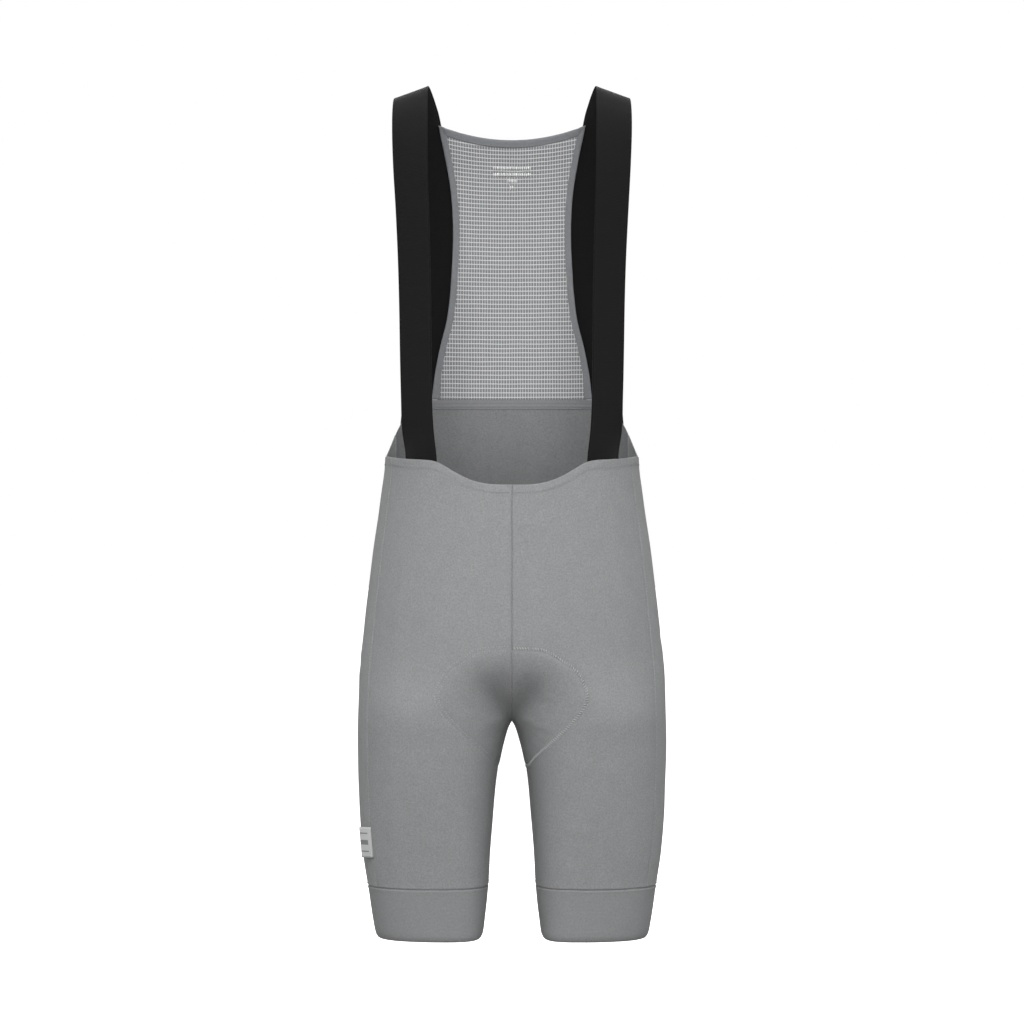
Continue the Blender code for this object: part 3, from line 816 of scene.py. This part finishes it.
def strung(places, size, knot=None, knots=None):
    # one yarn over the mesh, in as many stretches as the cloth has there
    stretch, made = [], []
    for k, (x, z) in enumerate(places + [(9.0, 9.0)]):
        found = onMesh(x, z) if x < 1 else None
        if found is None:
            if len(stretch) > 3:
                line = np.array([point for point, _, _ in stretch])
                out = np.array([way for _, way, _ in stretch])
                along = np.gradient(line, axis=0)
                over = np.cross(out, along)
                over /= np.linalg.norm(over, axis=1, keepdims=True)
                tied = np.array([t for _, _, t in stretch])
                wide = size[0] + (knot[0] - size[0]) * tied if knot else np.full(len(line), size[0])
                tall = size[1] + (knot[1] - size[1]) * tied if knot else np.full(len(line), size[1])
                made.append((line, over, out, wide, tall))
            stretch = []
        else:
            stretch.append((found[0], found[1], knots[k] if knots else 0.0))
    return made


def meshYarns():
    low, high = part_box("mesh_back")
    reach = int(high.x / yarnMake["apart"]) + 3
    threads, level, k = [], high.z + 12 * mm, 0
    while level > low.z - 3 * mm:
        depth = high.z - level
        sag = yarnMake["sag"] * math.exp(-max(depth, 0) / yarnMake["sagFades"])
        places, knots = [], []
        for n in range(-2 * reach, 2 * reach + 1):
            x = n * yarnMake["apart"] / 2
            drop = sag * (1 - (x / high.x) ** 2)
            drift = noise.noise(Vector((x * 40, level * 60, 3.0))) * yarnMake["jitter"] * 2
            places.append((x, level - drop + drift))
            knots.append(1.0 if n % 2 == 0 else 0.0)
        threads += strung(places, yarnMake["row"], yarnMake["rowKnot"], knots)
        level -= yarnMake["rowPitch"] - yarnMake["rowPitchLess"] * math.exp(-k / 9)
        k += 1
    for n in range(-reach, reach + 1):
        x = n * yarnMake["apart"]
        count = int((high.z - low.z + 6 * mm) / (2.5 * mm))
        places = []
        for i in range(count):
            z = high.z + 3 * mm - i * 2.5 * mm
            places.append((x + noise.noise(Vector((x * 90, z * 45, 8.0))) * yarnMake["jitter"] * 2, z))
        threads += strung(places, yarnMake["upright"])
    return ribbons("backMeshGrid", threads)


yarns = meshYarns()
print("mesh yarns:", len(yarns.data.polygons))

# a heat-pressed print of plain bars inside the upper back, in place of wording
printMake = {"top": -0.0795, "rows": (42, 42, 10, 4), "pitch": 7.2 * mm, "tall": 4.2 * mm, "thick": 0.12 * mm}


def printBars():
    threads = []
    for row, wide in enumerate(printMake["rows"]):
        z = printMake["top"] - row * printMake["pitch"]
        x = -wide / 2 * mm
        k = 0
        while x < wide / 2 * mm - 0.5 * mm:
            bar = mm * (0.9 + 0.5 * ((k * 7 + row * 3) % 3))
            x2 = min(x + bar, wide / 2 * mm)
            ends = [onMesh(x + (x2 - x) * t, z) for t in (0, 0.5, 1)]
            out = np.array([way for _, way in ends])
            line = np.array([point for point, _ in ends]) - out * (yarnMake["row"][1] + 0.1 * mm)
            over = np.cross(out, np.gradient(line, axis=0))
            over /= np.linalg.norm(over, axis=1, keepdims=True)
            size = np.full(3, printMake["tall"] / 2)
            threads.append((line, over, out, size, np.full(3, printMake["thick"])))
            x = x2 + 0.9 * mm
            k += 1
    return ribbons("pressedPrint", threads, sides=4)


pressed = printBars()

# the woven label: a ribbon folded in two, its ends in the side seam

labelMake = {
    "cloth": 0.35 * mm,
    "gap": 0.25 * mm,
    "rib": 0.9 * mm,
    "bars": ((6.5, 0.7), (16.5, 2.6), (26.5, 0.7)),  # middle and half height in mm, from the lower edge
}


def labelPiece():
    corners = np.unique(np.round([tuple(v.co) for v in cad["side_label"].data.vertices], 7), axis=0)
    root = corners[np.argsort(-corners[:, 0])][:4]
    tip = corners[np.argsort(-corners[:, 0])][4:]
    reach = tip.mean(axis=0) - root.mean(axis=0)
    length = np.linalg.norm(reach)
    reach /= length
    low, high = root[np.argsort(root[:, 2])][:2], root[np.argsort(root[:, 2])][2:]
    up = high.mean(axis=0) - low.mean(axis=0)
    height = np.linalg.norm(up)
    up /= height
    face = np.cross(reach, up)
    start = root.mean(axis=0) - reach * 1.5 * mm
    total = length + 1.5 * mm
    half = labelMake["gap"] / 2 + labelMake["cloth"]
    turn = np.linspace(-math.pi / 2, math.pi / 2, 7)
    path = [(x, -half) for x in np.linspace(0, total - half, 9)]
    path += [(total - half + half * math.cos(t), half * math.sin(t)) for t in turn[1:-1]]
    path += [(x, half) for x in np.linspace(total - half, 0, 9)]
    rows = np.linspace(-0.5, 0.5, 15) * height
    swell = 0.35 * mm
    points = []
    for z in rows:
        line = []
        for x, y in path:
            lift = swell * math.sin(math.pi * min(x / total, 1)) * (1 - (2 * z / height) ** 2)
            line.append(start + reach * x + up * z + face * (y + math.copysign(lift, y)))
        points.append(line)
    piece = meshGrid("sideLabel", np.array(points)[::-1])
    return walled(piece, labelMake["cloth"])


label = labelPiece()

# the seat pad: moulded foam, thin at its sewn edge, with channels pressed into it

padMake = {"rows": 120, "columns": 84, "channel": 2.6 * mm, "narrow": 1.5 * mm}
padChannels = [
    # shares across and along the pad, half width in mm, depth as a share of the deepest channel
    ([(0.5, 0.12), (0.5, 0.88)], 4.5, 1.0),
    ([(0.31, 0.20), (0.30, 0.36), (0.27, 0.5), (0.30, 0.64), (0.31, 0.80)], 2.4, 0.9),
    ([(0.69, 0.20), (0.70, 0.36), (0.73, 0.5), (0.70, 0.64), (0.69, 0.80)], 2.4, 0.9),
    ([(0.31, 0.20), (0.5, 0.12), (0.69, 0.20)], 2.4, 0.8),
    ([(0.31, 0.80), (0.5, 0.88), (0.69, 0.80)], 2.4, 0.8),
    ([(0.12, 0.72), (0.31, 0.70)], 2.2, 0.7),
    ([(0.69, 0.70), (0.88, 0.72)], 2.2, 0.7),
    ([(0.12, 0.30), (0.31, 0.32)], 2.2, 0.7),
    ([(0.69, 0.32), (0.88, 0.30)], 2.2, 0.7),
]


def padPiece():
    grids = gridOf("seat_pad", rowAxis=1, rowDown=False, across=lambda place: place[0], rimWidth=thickRim)
    rows, columns = np.linspace(0, 1, padMake["rows"]), np.linspace(0, 1, padMake["columns"])
    near, farSide = (widened(grid, rows, columns) for grid in grids)
    out = farSide - near
    thick = np.linalg.norm(out, axis=2, keepdims=True)
    out /= thick
    lines = near.reshape(-1, 3)
    pressed = np.zeros(len(lines))
    for places, width, depth in padChannels:
        path = np.array([near[int(v * (len(rows) - 1)), int(u * (len(columns) - 1))] for u, v in places])
        away, _ = distanceTo(path, lines)
        pressed = np.maximum(pressed, depth * np.exp(-((away / (width * mm)) ** 2)))
    pressed = pressed.reshape(thick.shape)
    top = near + out * np.maximum(thick - padMake["channel"] * pressed, padMake["narrow"])
    return slab("seatPad", near, top)


def slab(name, near, far):
    # a closed piece between two grids of points
    rows, columns = near.shape[:2]
    count = rows * columns
    faces = []
    for i in range(rows - 1):
        for j in range(columns - 1):
            a, b = i * columns + j, (i + 1) * columns + j
            c, d = b + 1, a + 1
            faces.append((a, b, c, d))
            faces.append((count + d, count + c, count + b, count + a))
    border = list(range(columns)) + [i * columns + columns - 1 for i in range(1, rows)]
    border += [(rows - 1) * columns + j for j in range(columns - 2, -1, -1)]
    border += [i * columns for i in range(rows - 2, 0, -1)]
    for a, b in zip(border, border[1:] + border[:1]):
        faces.append((a, b, count + b, count + a))
    points = np.concatenate([near.reshape(-1, 3), far.reshape(-1, 3)])
    return facedOut(pieceOf(name, points.tolist(), faces))


pad = padPiece()
print("pad:", len(pad.data.polygons))

# stitches: one modelled, then copied along every seam

stitchMake = {
    "length": 2.5 * mm,
    "thick": 0.34 * mm,  # thread drawn a little coarser than the real 0.25 mm, so that it shows
    "proud": 0.16 * mm,
    "pitch": 3.1 * mm,
    "twin": 2.1,  # the rows on each side of a seam stand this far from it, in mm
    "hem": (8.3, 9.7),
    "tack": (1.6, 4.0, 5.2, 11.4),  # the box's rows, in mm below the top edge
    "tackSpan": (5.15, 7.45),  # between these columns of the CAD walls
    "padPitch": 2.9 * mm,
    "padLength": 2.2 * mm,
    "padSway": 2.9,
    "padThick": 0.78 * mm,  # bulky overlock thread, drawn coarser so that it shows
}


def oneStitch():
    # a short bead of thread whose two ends go down into the cloth
    bpy.ops.mesh.primitive_uv_sphere_add(segments=5, ring_count=5, radius=0.5, rotation=(0, math.pi / 2, 0))
    bead = bpy.context.object
    bpy.ops.object.transform_apply(rotation=True)
    bpy.ops.object.mode_set(mode="EDIT")
    work = bmesh.from_edit_mesh(bead.data)
    for vertex in work.verts:
        vertex.select_set(abs(vertex.co.x) > 0.35)
    bmesh.update_edit_mesh(bead.data)
    bpy.ops.transform.translate(value=(0, 0, -0.9))
    bpy.ops.object.mode_set(mode="OBJECT")
    points = np.array([v.co for v in bead.data.vertices])
    faces = [list(face.vertices) for face in bead.data.polygons]
    bpy.data.objects.remove(bead)
    return points, faces


stitchPoints, stitchFaces = oneStitch()


def sewn(name, rows, thick=None):
    # each row is its stitches' start points, end points and outward directions
    thick = thick or stitchMake["thick"]
    points, faces, count = [], [], 0
    for start, end, out in rows:
        along = end - start
        length = np.linalg.norm(along, axis=1, keepdims=True)
        along = along / length
        over = np.cross(out, along)
        over /= np.linalg.norm(over, axis=1, keepdims=True)
        up = np.cross(along, over)
        base = (start + end) / 2 + up * stitchMake["proud"]
        shape = stitchPoints[None]
        placed = base[:, None] + along[:, None] * shape[..., :1] * length[:, None]
        placed = placed + over[:, None] * shape[..., 1:2] * thick * 2
        placed = placed + up[:, None] * shape[..., 2:3] * thick * 1.6
        points.append(placed.reshape(-1, 3))
        for _ in range(len(start)):
            faces += [[count + p for p in face] for face in stitchFaces]
            count += len(stitchPoints)
    return facedOut(pieceOf(name, np.concatenate(points).tolist(), faces))


def pathOn(places, side):
    # a fine line on the body through rows and columns, with the outward directions
    places = np.array(places, float)
    count = int(np.abs(np.diff(places, axis=0)).max(axis=1).sum() * 5) + 2
    run = np.r_[0, np.cumsum(np.abs(np.diff(places, axis=0)).max(axis=1))]
    at = np.linspace(0, run[-1], count)
    rows, columns = np.interp(at, run, places[:, 0]), np.interp(at, run, places[:, 1])
    return np.array([bodyPoint(r, c, side)[:6] for r, c in zip(rows, columns)])


def stitched(line, tree, offset=0.0, pitch=None, length=None, sway=0.0, reach=5 * mm):
    # stitches along a line of points and outward directions, moved sideways in mm;
    # sway lays them slantwise
    pitch = pitch or stitchMake["pitch"]
    length = length or stitchMake["length"]
    run = runOf(line)
    starts = np.arange(pitch * 0.4, run[-1] - length, pitch)
    ends = starts + (pitch if sway else length)

    def readAt(at):
        return np.stack([np.interp(at, run, line[:, k]) for k in range(6)], axis=1)

    def onto(at, aside):
        point = readAt(at)
        over = np.cross(point[:, 3:], (readAt(at + 0.5 * mm) - readAt(at - 0.5 * mm))[:, :3])
        over /= np.linalg.norm(over, axis=1, keepdims=True)
        return point[:, :3] + over * aside * mm, point[:, 3:]

    made = []
    for at, aside in ((starts, offset + sway), (ends, offset - sway)):
        places, outs = onto(at, aside)
        found = [tree.ray_cast(Vector(p + o * reach), Vector(-o), 2 * reach) for p, o in zip(places, outs)]
        made.append([(hit[0], hit[1]) if hit[0] is not None else None for hit in found])
    longest = 3 * max(pitch, length)
    kept = [(a[0], b[0], a[1] + b[1]) for a, b in zip(*made) if a and b and (a[0] - b[0]).length < longest]
    start, end, out = (np.array([list(k[n]) for k in kept]) for n in range(3))
    return start, end, out / np.linalg.norm(out, axis=1, keepdims=True)


shellTree = treeOf(*panels.values())
last = marks["last"]
seamRuns, strapTacks = {}, {}
for side in ("left", "right"):
    rows = []
    out = 1 if side == "left" else -1
    twin = stitchMake["twin"]
    for places in (
        [(0.0, marks["side"]), (marks["gripper"], marks["side"])],
        [(0.0, marks["seat"]), (marks["gripper"], marks["seat"])],
        [(marks["crotch"], 0), (marks["gripper"], 0)],
        [(marks["yokeFoot"], marks["seat"]), (marks["yokeFoot"], last)],
        [(marks["gripper"], 0), (marks["gripper"], last)],
    ):
        line = pathOn(places, side)
        rows += [stitched(line, shellTree, offset) for offset in (-twin, twin)]
    rows.append(stitched(pathOn([(0, 0), (marks["crotch"], 0)], side), shellTree, twin * out))
    seatSeam = pathOn([(marks["yokeFoot"], last), (marks["crotch"], last)], side)
    rows.append(stitched(seatSeam, shellTree, -twin * out))
    for drop in stitchMake["hem"]:
        rows.append(stitched(pathOn([(0, 0.05), (0, marks["seat"])], side), shellTree, -drop * out))
    seamRuns[side] = sewn(f"seamStitches_{side}", rows)
    # the strap's end is tacked through the hem by a long box of stitches
    box = []
    for drop in stitchMake["tack"]:
        line = pathOn([(0, stitchMake["tackSpan"][0]), (0, stitchMake["tackSpan"][1])], side)
        box.append(stitched(line, shellTree, -drop * out, length=2.7 * mm))
    upper, lower = box[0][0][[0, -1]], box[-1][0][[0, -1]]
    for k in (0, 1):
        edge = np.linspace(upper[k], lower[k], 12)
        facing = np.repeat(box[0][2][[-k]], 12, axis=0)
        box.append(stitched(np.concatenate([edge, facing], axis=1), shellTree))
    strapTacks[side] = sewn(f"strapTack_{side}", box)
print("seam stitches:", [len(piece.data.polygons) for piece in seamRuns.values()])
padOut = np.array([list(bodyTree.find_nearest(Vector(p))[1]) for p in padEdge])
padLine = np.concatenate([padEdge, padOut], axis=1)
padLay = {"pitch": stitchMake["padPitch"], "length": stitchMake["padLength"], "sway": stitchMake["padSway"]}
padStitches = sewn("padStitches", [stitched(padLine, shellTree, **padLay)], thick=stitchMake["padThick"])
print("pad stitches:", len(padStitches.data.polygons))


def linear(code):
    # an sRGB hex colour as the linear values that the shader mixes
    parts = [int(code[k : k + 2], 16) / 255 for k in (1, 3, 5)]
    return [p / 12.92 if p <= 0.04045 else ((p + 0.055) / 1.055) ** 2.4 for p in parts] + [1.0]


def addNode(material, kind, inputs=None, **settings):
    made = material.node_tree.nodes.new("ShaderNode" + kind)
    for key, value in settings.items():
        setattr(made, key, value)
    for key, value in (inputs or {}).items():
        if isinstance(value, bpy.types.NodeSocket):
            material.node_tree.links.new(value, made.inputs[key])
        else:
            made.inputs[key].default_value = value
    return made


def newMaterial(name, code, roughness, sheen=0.0, specular=0.12):
    material = bpy.data.materials.new(name)
    material.use_nodes = True
    shader = material.node_tree.nodes["Principled BSDF"]
    shader.inputs["Base Color"].default_value = linear(code)
    shader.inputs["Roughness"].default_value = roughness
    shader.inputs["Sheen Weight"].default_value = sheen
    shader.inputs["Sheen Roughness"].default_value = 0.6
    shader.inputs["Specular IOR Level"].default_value = specular
    return material, shader


def clothMap(material, across, along):
    # the piece's own cloth map, which is in metres, counted in stitches across and rows along
    place = addNode(material, "UVMap", uv_map="cloth")
    scale = (1 / across, 1 / along, 1)
    return addNode(material, "Mapping", {"Vector": place.outputs[0], "Scale": scale}).outputs[0]


def objectMap(material, size):
    place = addNode(material, "TexCoord")
    scale = (1 / size,) * 3
    return addNode(material, "Mapping", {"Vector": place.outputs["Object"], "Scale": scale}).outputs[0]


def toned(material, shader, code, *layers):
    # the base colour, darkened and lightened by patterns;
    # each layer is a pattern from 0 to 1 and how much it changes
    colour = linear(code)
    result = None
    for pattern, amount in layers:
        ends = {"To Min": 1 - amount, "To Max": 1 + amount}
        share = addNode(material, "MapRange", {"Value": pattern, **ends}).outputs[0]
        if result is not None:
            share = addNode(material, "Math", {0: result, 1: share}, operation="MULTIPLY").outputs[0]
        result = share
    tone = addNode(material, "VectorMath", {0: colour[:3], "Scale": result}, operation="SCALE")
    material.node_tree.links.new(tone.outputs[0], shader.inputs["Base Color"])


def raised(material, shader, height, depth):
    bumped = addNode(material, "Bump", {"Height": height, "Distance": depth, "Strength": 1.0})
    material.node_tree.links.new(bumped.outputs[0], shader.inputs["Normal"])


def mixed(material, *heights):
    # several height patterns added up, each with its share
    result = None
    for pattern, share in heights:
        part = addNode(material, "Math", {0: pattern, 1: share}, operation="MULTIPLY").outputs[0]
        if result is not None:
            part = addNode(material, "Math", {0: result, 1: part}, operation="ADD").outputs[0]
        result = part
    return result


oneWave = 0.314  # the wave texture's scale at which one band is one unit wide
knitMake = {
    "wale": 1.25 * mm,  # the real loops are 0.45 mm apart, drawn coarser so that they show
    "course": 1.0 * mm,
    "fuzz": 1.7 * mm,  # loose fibre clumps of half a millimetre, drawn coarser so that they show
    "mottle": 16 * mm,
    "relief": 0.10 * mm,
}


def brushedKnit(name, code):
    # brushed polyamide warp knit: matt, faintly heathered, with fine upright wales
    material, shader = newMaterial(name, code, 0.86, sheen=0.12)
    loops = clothMap(material, knitMake["wale"], knitMake["course"])
    clumps, patches = objectMap(material, knitMake["fuzz"]), objectMap(material, knitMake["mottle"])
    looped = {"Vector": loops, "Scale": oneWave, "Detail": 1.0}
    upright = {**looped, "Distortion": 1.2, "Detail Scale": 1.5}
    wale = addNode(material, "TexWave", upright, bands_direction="X").outputs[1]
    course = addNode(material, "TexWave", {**looped, "Distortion": 0.8}, bands_direction="Y").outputs[1]
    loose = {"Vector": clumps, "Scale": 1.0, "Detail": 3.0, "Roughness": 0.65}
    fuzz = addNode(material, "TexNoise", loose).outputs[0]
    mottle = addNode(material, "TexNoise", {"Vector": patches, "Scale": 1.0, "Detail": 2.0}).outputs[0]
    # the wale layer is painted highlight on the wale crowns and painted shade in the grooves
    toned(material, shader, code, (fuzz, 0.38), (mottle, 0.06), (wale, 0.05))
    raised(material, shader, mixed(material, (wale, 0.5), (course, 0.25), (fuzz, 0.6)), knitMake["relief"])
    return material


def ribbedKnit(name, code, rib, upright, relief, tone=0.06, fuzzTone=0.22, specular=0.12):
    # ribbed elastic knit: soft ribs along or across, bumped, with each crown painted lighter and each hollow
    # darker as painted highlight and shade; tone sets how much
    material, shader = newMaterial(name, code, 0.8, sheen=0.10, specular=specular)
    loops = clothMap(material, rib, rib)
    clumps, patches = objectMap(material, knitMake["fuzz"]), objectMap(material, knitMake["mottle"])
    wavy = {"Vector": loops, "Scale": oneWave, "Distortion": 0.35, "Detail": 1.0, "Detail Scale": 2.0}
    ribs = addNode(material, "TexWave", wavy, bands_direction="X" if upright else "Y").outputs[1]
    fuzz = addNode(material, "TexNoise", {"Vector": clumps, "Scale": 1.0, "Detail": 3.0}).outputs[0]
    mottle = addNode(material, "TexNoise", {"Vector": patches, "Scale": 1.0, "Detail": 2.0}).outputs[0]
    # the ribs layer is painted highlight on the crowns and painted shade in the hollows
    toned(material, shader, code, (ribs, tone), (fuzz, fuzzTone), (mottle, 0.04))
    raised(material, shader, mixed(material, (ribs, 1.0), (fuzz, 0.3)), relief)
    return material


def plainThread(name, code, twist=0.6 * mm):
    # spun polyester thread: a slight sheen and a fine twist
    material, shader = newMaterial(name, code, 0.55, sheen=0.1)
    fibres = {"Vector": objectMap(material, twist), "Scale": 1.0, "Detail": 2.0}
    turns = addNode(material, "TexNoise", fibres).outputs[0]
    toned(material, shader, code, (turns, 0.12))
    raised(material, shader, turns, 0.05 * mm)
    return material


def wovenLabel(name, code):
    # satin ribbon with plain darker bars woven in, on both of its faces
    material, shader = newMaterial(name, code, 0.5, sheen=0.1)
    place = addNode(material, "SeparateXYZ", {0: addNode(material, "UVMap", uv_map="cloth").outputs[0]})
    bars = []
    for middle, half in labelMake["bars"]:
        band = {0: place.outputs[1], 1: middle * mm, 2: half * mm}
        bars.append((addNode(material, "Math", band, operation="COMPARE").outputs[0], 1.0))
    across = {0: place.outputs[0], 1: 16.7 * mm, 2: 12.5 * mm}
    inside = addNode(material, "Math", across, operation="COMPARE").outputs[0]
    woven = addNode(material, "Math", {0: mixed(material, *bars), 1: inside}, operation="MULTIPLY").outputs[0]
    plain = addNode(material, "Math", {0: 1.0, 1: woven}, operation="SUBTRACT").outputs[0]
    loops = clothMap(material, labelMake["rib"], labelMake["rib"])
    wavy = {"Vector": loops, "Scale": oneWave, "Distortion": 0.3}
    ribs = addNode(material, "TexWave", wavy, bands_direction="X").outputs[1]
    # the ribs layer is a faint painted highlight on the rib crowns and painted shade between them; the bars are
    # woven in
    toned(material, shader, code, (plain, 0.42), (ribs, 0.03))
    raised(material, shader, mixed(material, (plain, 1.0), (ribs, 0.6)), 0.05 * mm)
    return material


finishes = {
    "mainKnit": brushedKnit("brushed knit, mid grey", "#909192"),
    "sideKnit": brushedKnit("brushed knit, side grey", "#959697"),
    # in the ribbed finishes, tone is the strength of the painted highlight and shade on the ribs
    "gripperKnit": ribbedKnit(
        "ribbed gripper knit", "#8D8E8F", 1.5 * mm, upright=False, relief=0.06 * mm, tone=0.03
    ),
    "strapElastic": ribbedKnit(
        "woven elastic, near black", "#131212", 1.6 * mm,
        upright=False, relief=0.08 * mm, tone=0.12, fuzzTone=0.12, specular=0.05,
    ),
    "meshGround": brushedKnit("fine mesh ground, grey", "#858688"),
    "gridYarn": plainThread("textured white yarn", "#D0D1D2"),
    "bindingKnit": ribbedKnit("binding tape knit", "#828487", 1.3 * mm, upright=True, relief=0.1 * mm),
    "bandKnit": ribbedKnit("ribbed band knit", "#858688", 1.6 * mm, upright=True, relief=0.25 * mm, tone=0.2),
    "padCloth": brushedKnit("brushed microfibre over foam", "#737476"),
    "labelSatin": wovenLabel("woven satin ribbon, pale grey", "#A9A9AA"),
    # a darker copy of the main knit for the yoke's inner face: painted shade
    "yokeInsidePaintedShade": brushedKnit("brushed knit, inner face, painted shade", "#7F8081"),
    "thread": plainThread("polyester thread, grey", "#8A8B8C"),
    "padThread": plainThread("bulky overlock thread, pale grey", "#A8A9AA"),
    "pressedInk": plainThread("heat-pressed ink, white", "#EDEDED"),
}

clothPieces = [
    # piece, the CAD nodes it stands for, slot, finish
    (panels["yoke"], ["back_yoke"], "main_knit", "mainKnit"),
    (meshCloth, ["mesh_back"], "back_mesh", "meshGround"),
    (tapes["neck"], ["binding_top"], "binding_knit", "bindingKnit"),
    (tapes["band"], ["band_bottom"], "binding_knit", "bandKnit"),
    (label, ["side_label"], "woven_label", "labelSatin"),
]
for side in ("left", "right"):
    clothPieces += [
        (panels[f"front_{side}"], [f"front_{side}"], "main_knit", "mainKnit"),
        (panels[f"side_{side}"], [f"side_{side}"], "side_knit", "sideKnit"),
        (panels[f"seat_{side}"], [f"seat_{side}"], "main_knit", "mainKnit"),
        (panels[f"gripper_{side}"], [f"gripper_{side}"], "gripper_knit", "gripperKnit"),
        (straps[side], [f"strap_{side}"], "strap_elastic", "strapElastic"),
        (tapes[side], [f"binding_{side}"], "binding_knit", "bindingKnit"),
    ]
otherPieces = [
    (yarns, [], "back_mesh", "gridYarn"),
    (pressed, [], "back_mesh", "pressedInk"),
    (pad, ["seat_pad"], "pad_foam", "padCloth"),
    (padStitches, [], "main_knit", "padThread"),
]
for run in list(seamRuns.values()) + list(strapTacks.values()):
    otherPieces.append((run, [], "main_knit", "thread"))
for piece, nodes, slotName, finish in clothPieces + otherPieces:
    piece.data.materials.clear()
    piece.data.materials.append(finishes[finish])
    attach(piece, "root")
    if nodes:
        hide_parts(*nodes)
# the yoke's inner face, turned to the front, takes a darker copy of the same knit: painted shade for the inside
# of the garment
panels["yoke"].data.materials.append(finishes["yokeInsidePaintedShade"])
for face in panels["yoke"].data.polygons:
    face.material_index = 1 if face.normal.y < -0.2 else 0

studio = {
    "camera": (0, -3.8, -0.467),
    "lens": 121.45,
    "floor": -1.12,
    "aim": (0, 0, -0.5),
    "worldHigh": 0.42,
    "worldLow": 0.27,
}

bpy.ops.object.select_all(action="DESELECT")
bpy.ops.mesh.primitive_plane_add(size=40, location=(0, 6, studio["floor"]))
floor = bpy.context.object
floor.name = "studioFloor"
floorFinish, floorShader = newMaterial("matt white studio board", "#F4F4F4", 0.9)
floorShader.inputs["Emission Color"].default_value = linear("#FFFFFF")
floorShader.inputs["Emission Strength"].default_value = 1.0
floor.visible_diffuse = False
floor.visible_glossy = False
floor.data.materials.append(floorFinish)
bpy.ops.object.transform_apply(location=True)

world = bpy.data.worlds.new("studio")
bpy.context.scene.world = world
world.use_nodes = True
back = world.node_tree.nodes["Background"]
back.inputs["Color"].default_value = (1, 1, 1, 1)
# the walls of the studio are brighter overhead than low down, and plain white to the eye
rays = addNode(world, "LightPath")
way = addNode(world, "TexCoord")
upward = addNode(world, "SeparateXYZ", {0: way.outputs["Generated"]})
wall = {"From Min": -0.5, "From Max": 0.7, "To Min": studio["worldLow"], "To Max": studio["worldHigh"]}
glow = addNode(world, "MapRange", {"Value": upward.outputs[2], **wall})
seen = {"Value": rays.outputs["Is Camera Ray"], "To Min": glow.outputs[0], "To Max": 1.0}
level = addNode(world, "MapRange", seen)
world.node_tree.links.new(level.outputs[0], back.inputs["Strength"])

lights = {
    # place, size and power of each soft light, all aimed at the middle of the garment
    "front": ((0.0, -2.6, 1.15), 1.6, 66),
    "low": ((0.0, -2.6, -1.0), 0.9, 11),
    "leftSide": ((2.7, -0.9, 0.5), 1.4, 9),
    "rightSide": ((-2.7, -0.9, 0.5), 1.4, 9),
    "over": ((0.0, 0.6, 2.4), 2.4, 12),
    "behind": ((0.0, 3.0, 1.4), 2.0, 44),
}
for name, (place, size, power) in lights.items():
    lamp = bpy.data.lights.new(name, "AREA")
    lamp.shape = "SQUARE"
    lamp.size = size
    lamp.energy = power
    holder = bpy.data.objects.new(name, lamp)
    holder.visible_camera = False
    holder.location = place
    holder.rotation_euler = (Vector(studio["aim"]) - Vector(place)).to_track_quat("-Z", "Y").to_euler()
    bpy.context.scene.collection.objects.link(holder)

view = bpy.data.cameras.new("front view")
view.sensor_width = 36
view.lens = studio["lens"]
camera = bpy.data.objects.new("front view", view)
camera.location = studio["camera"]
camera.rotation_euler = (math.pi / 2, 0, 0)
bpy.context.scene.collection.objects.link(camera)
bpy.context.scene.camera = camera
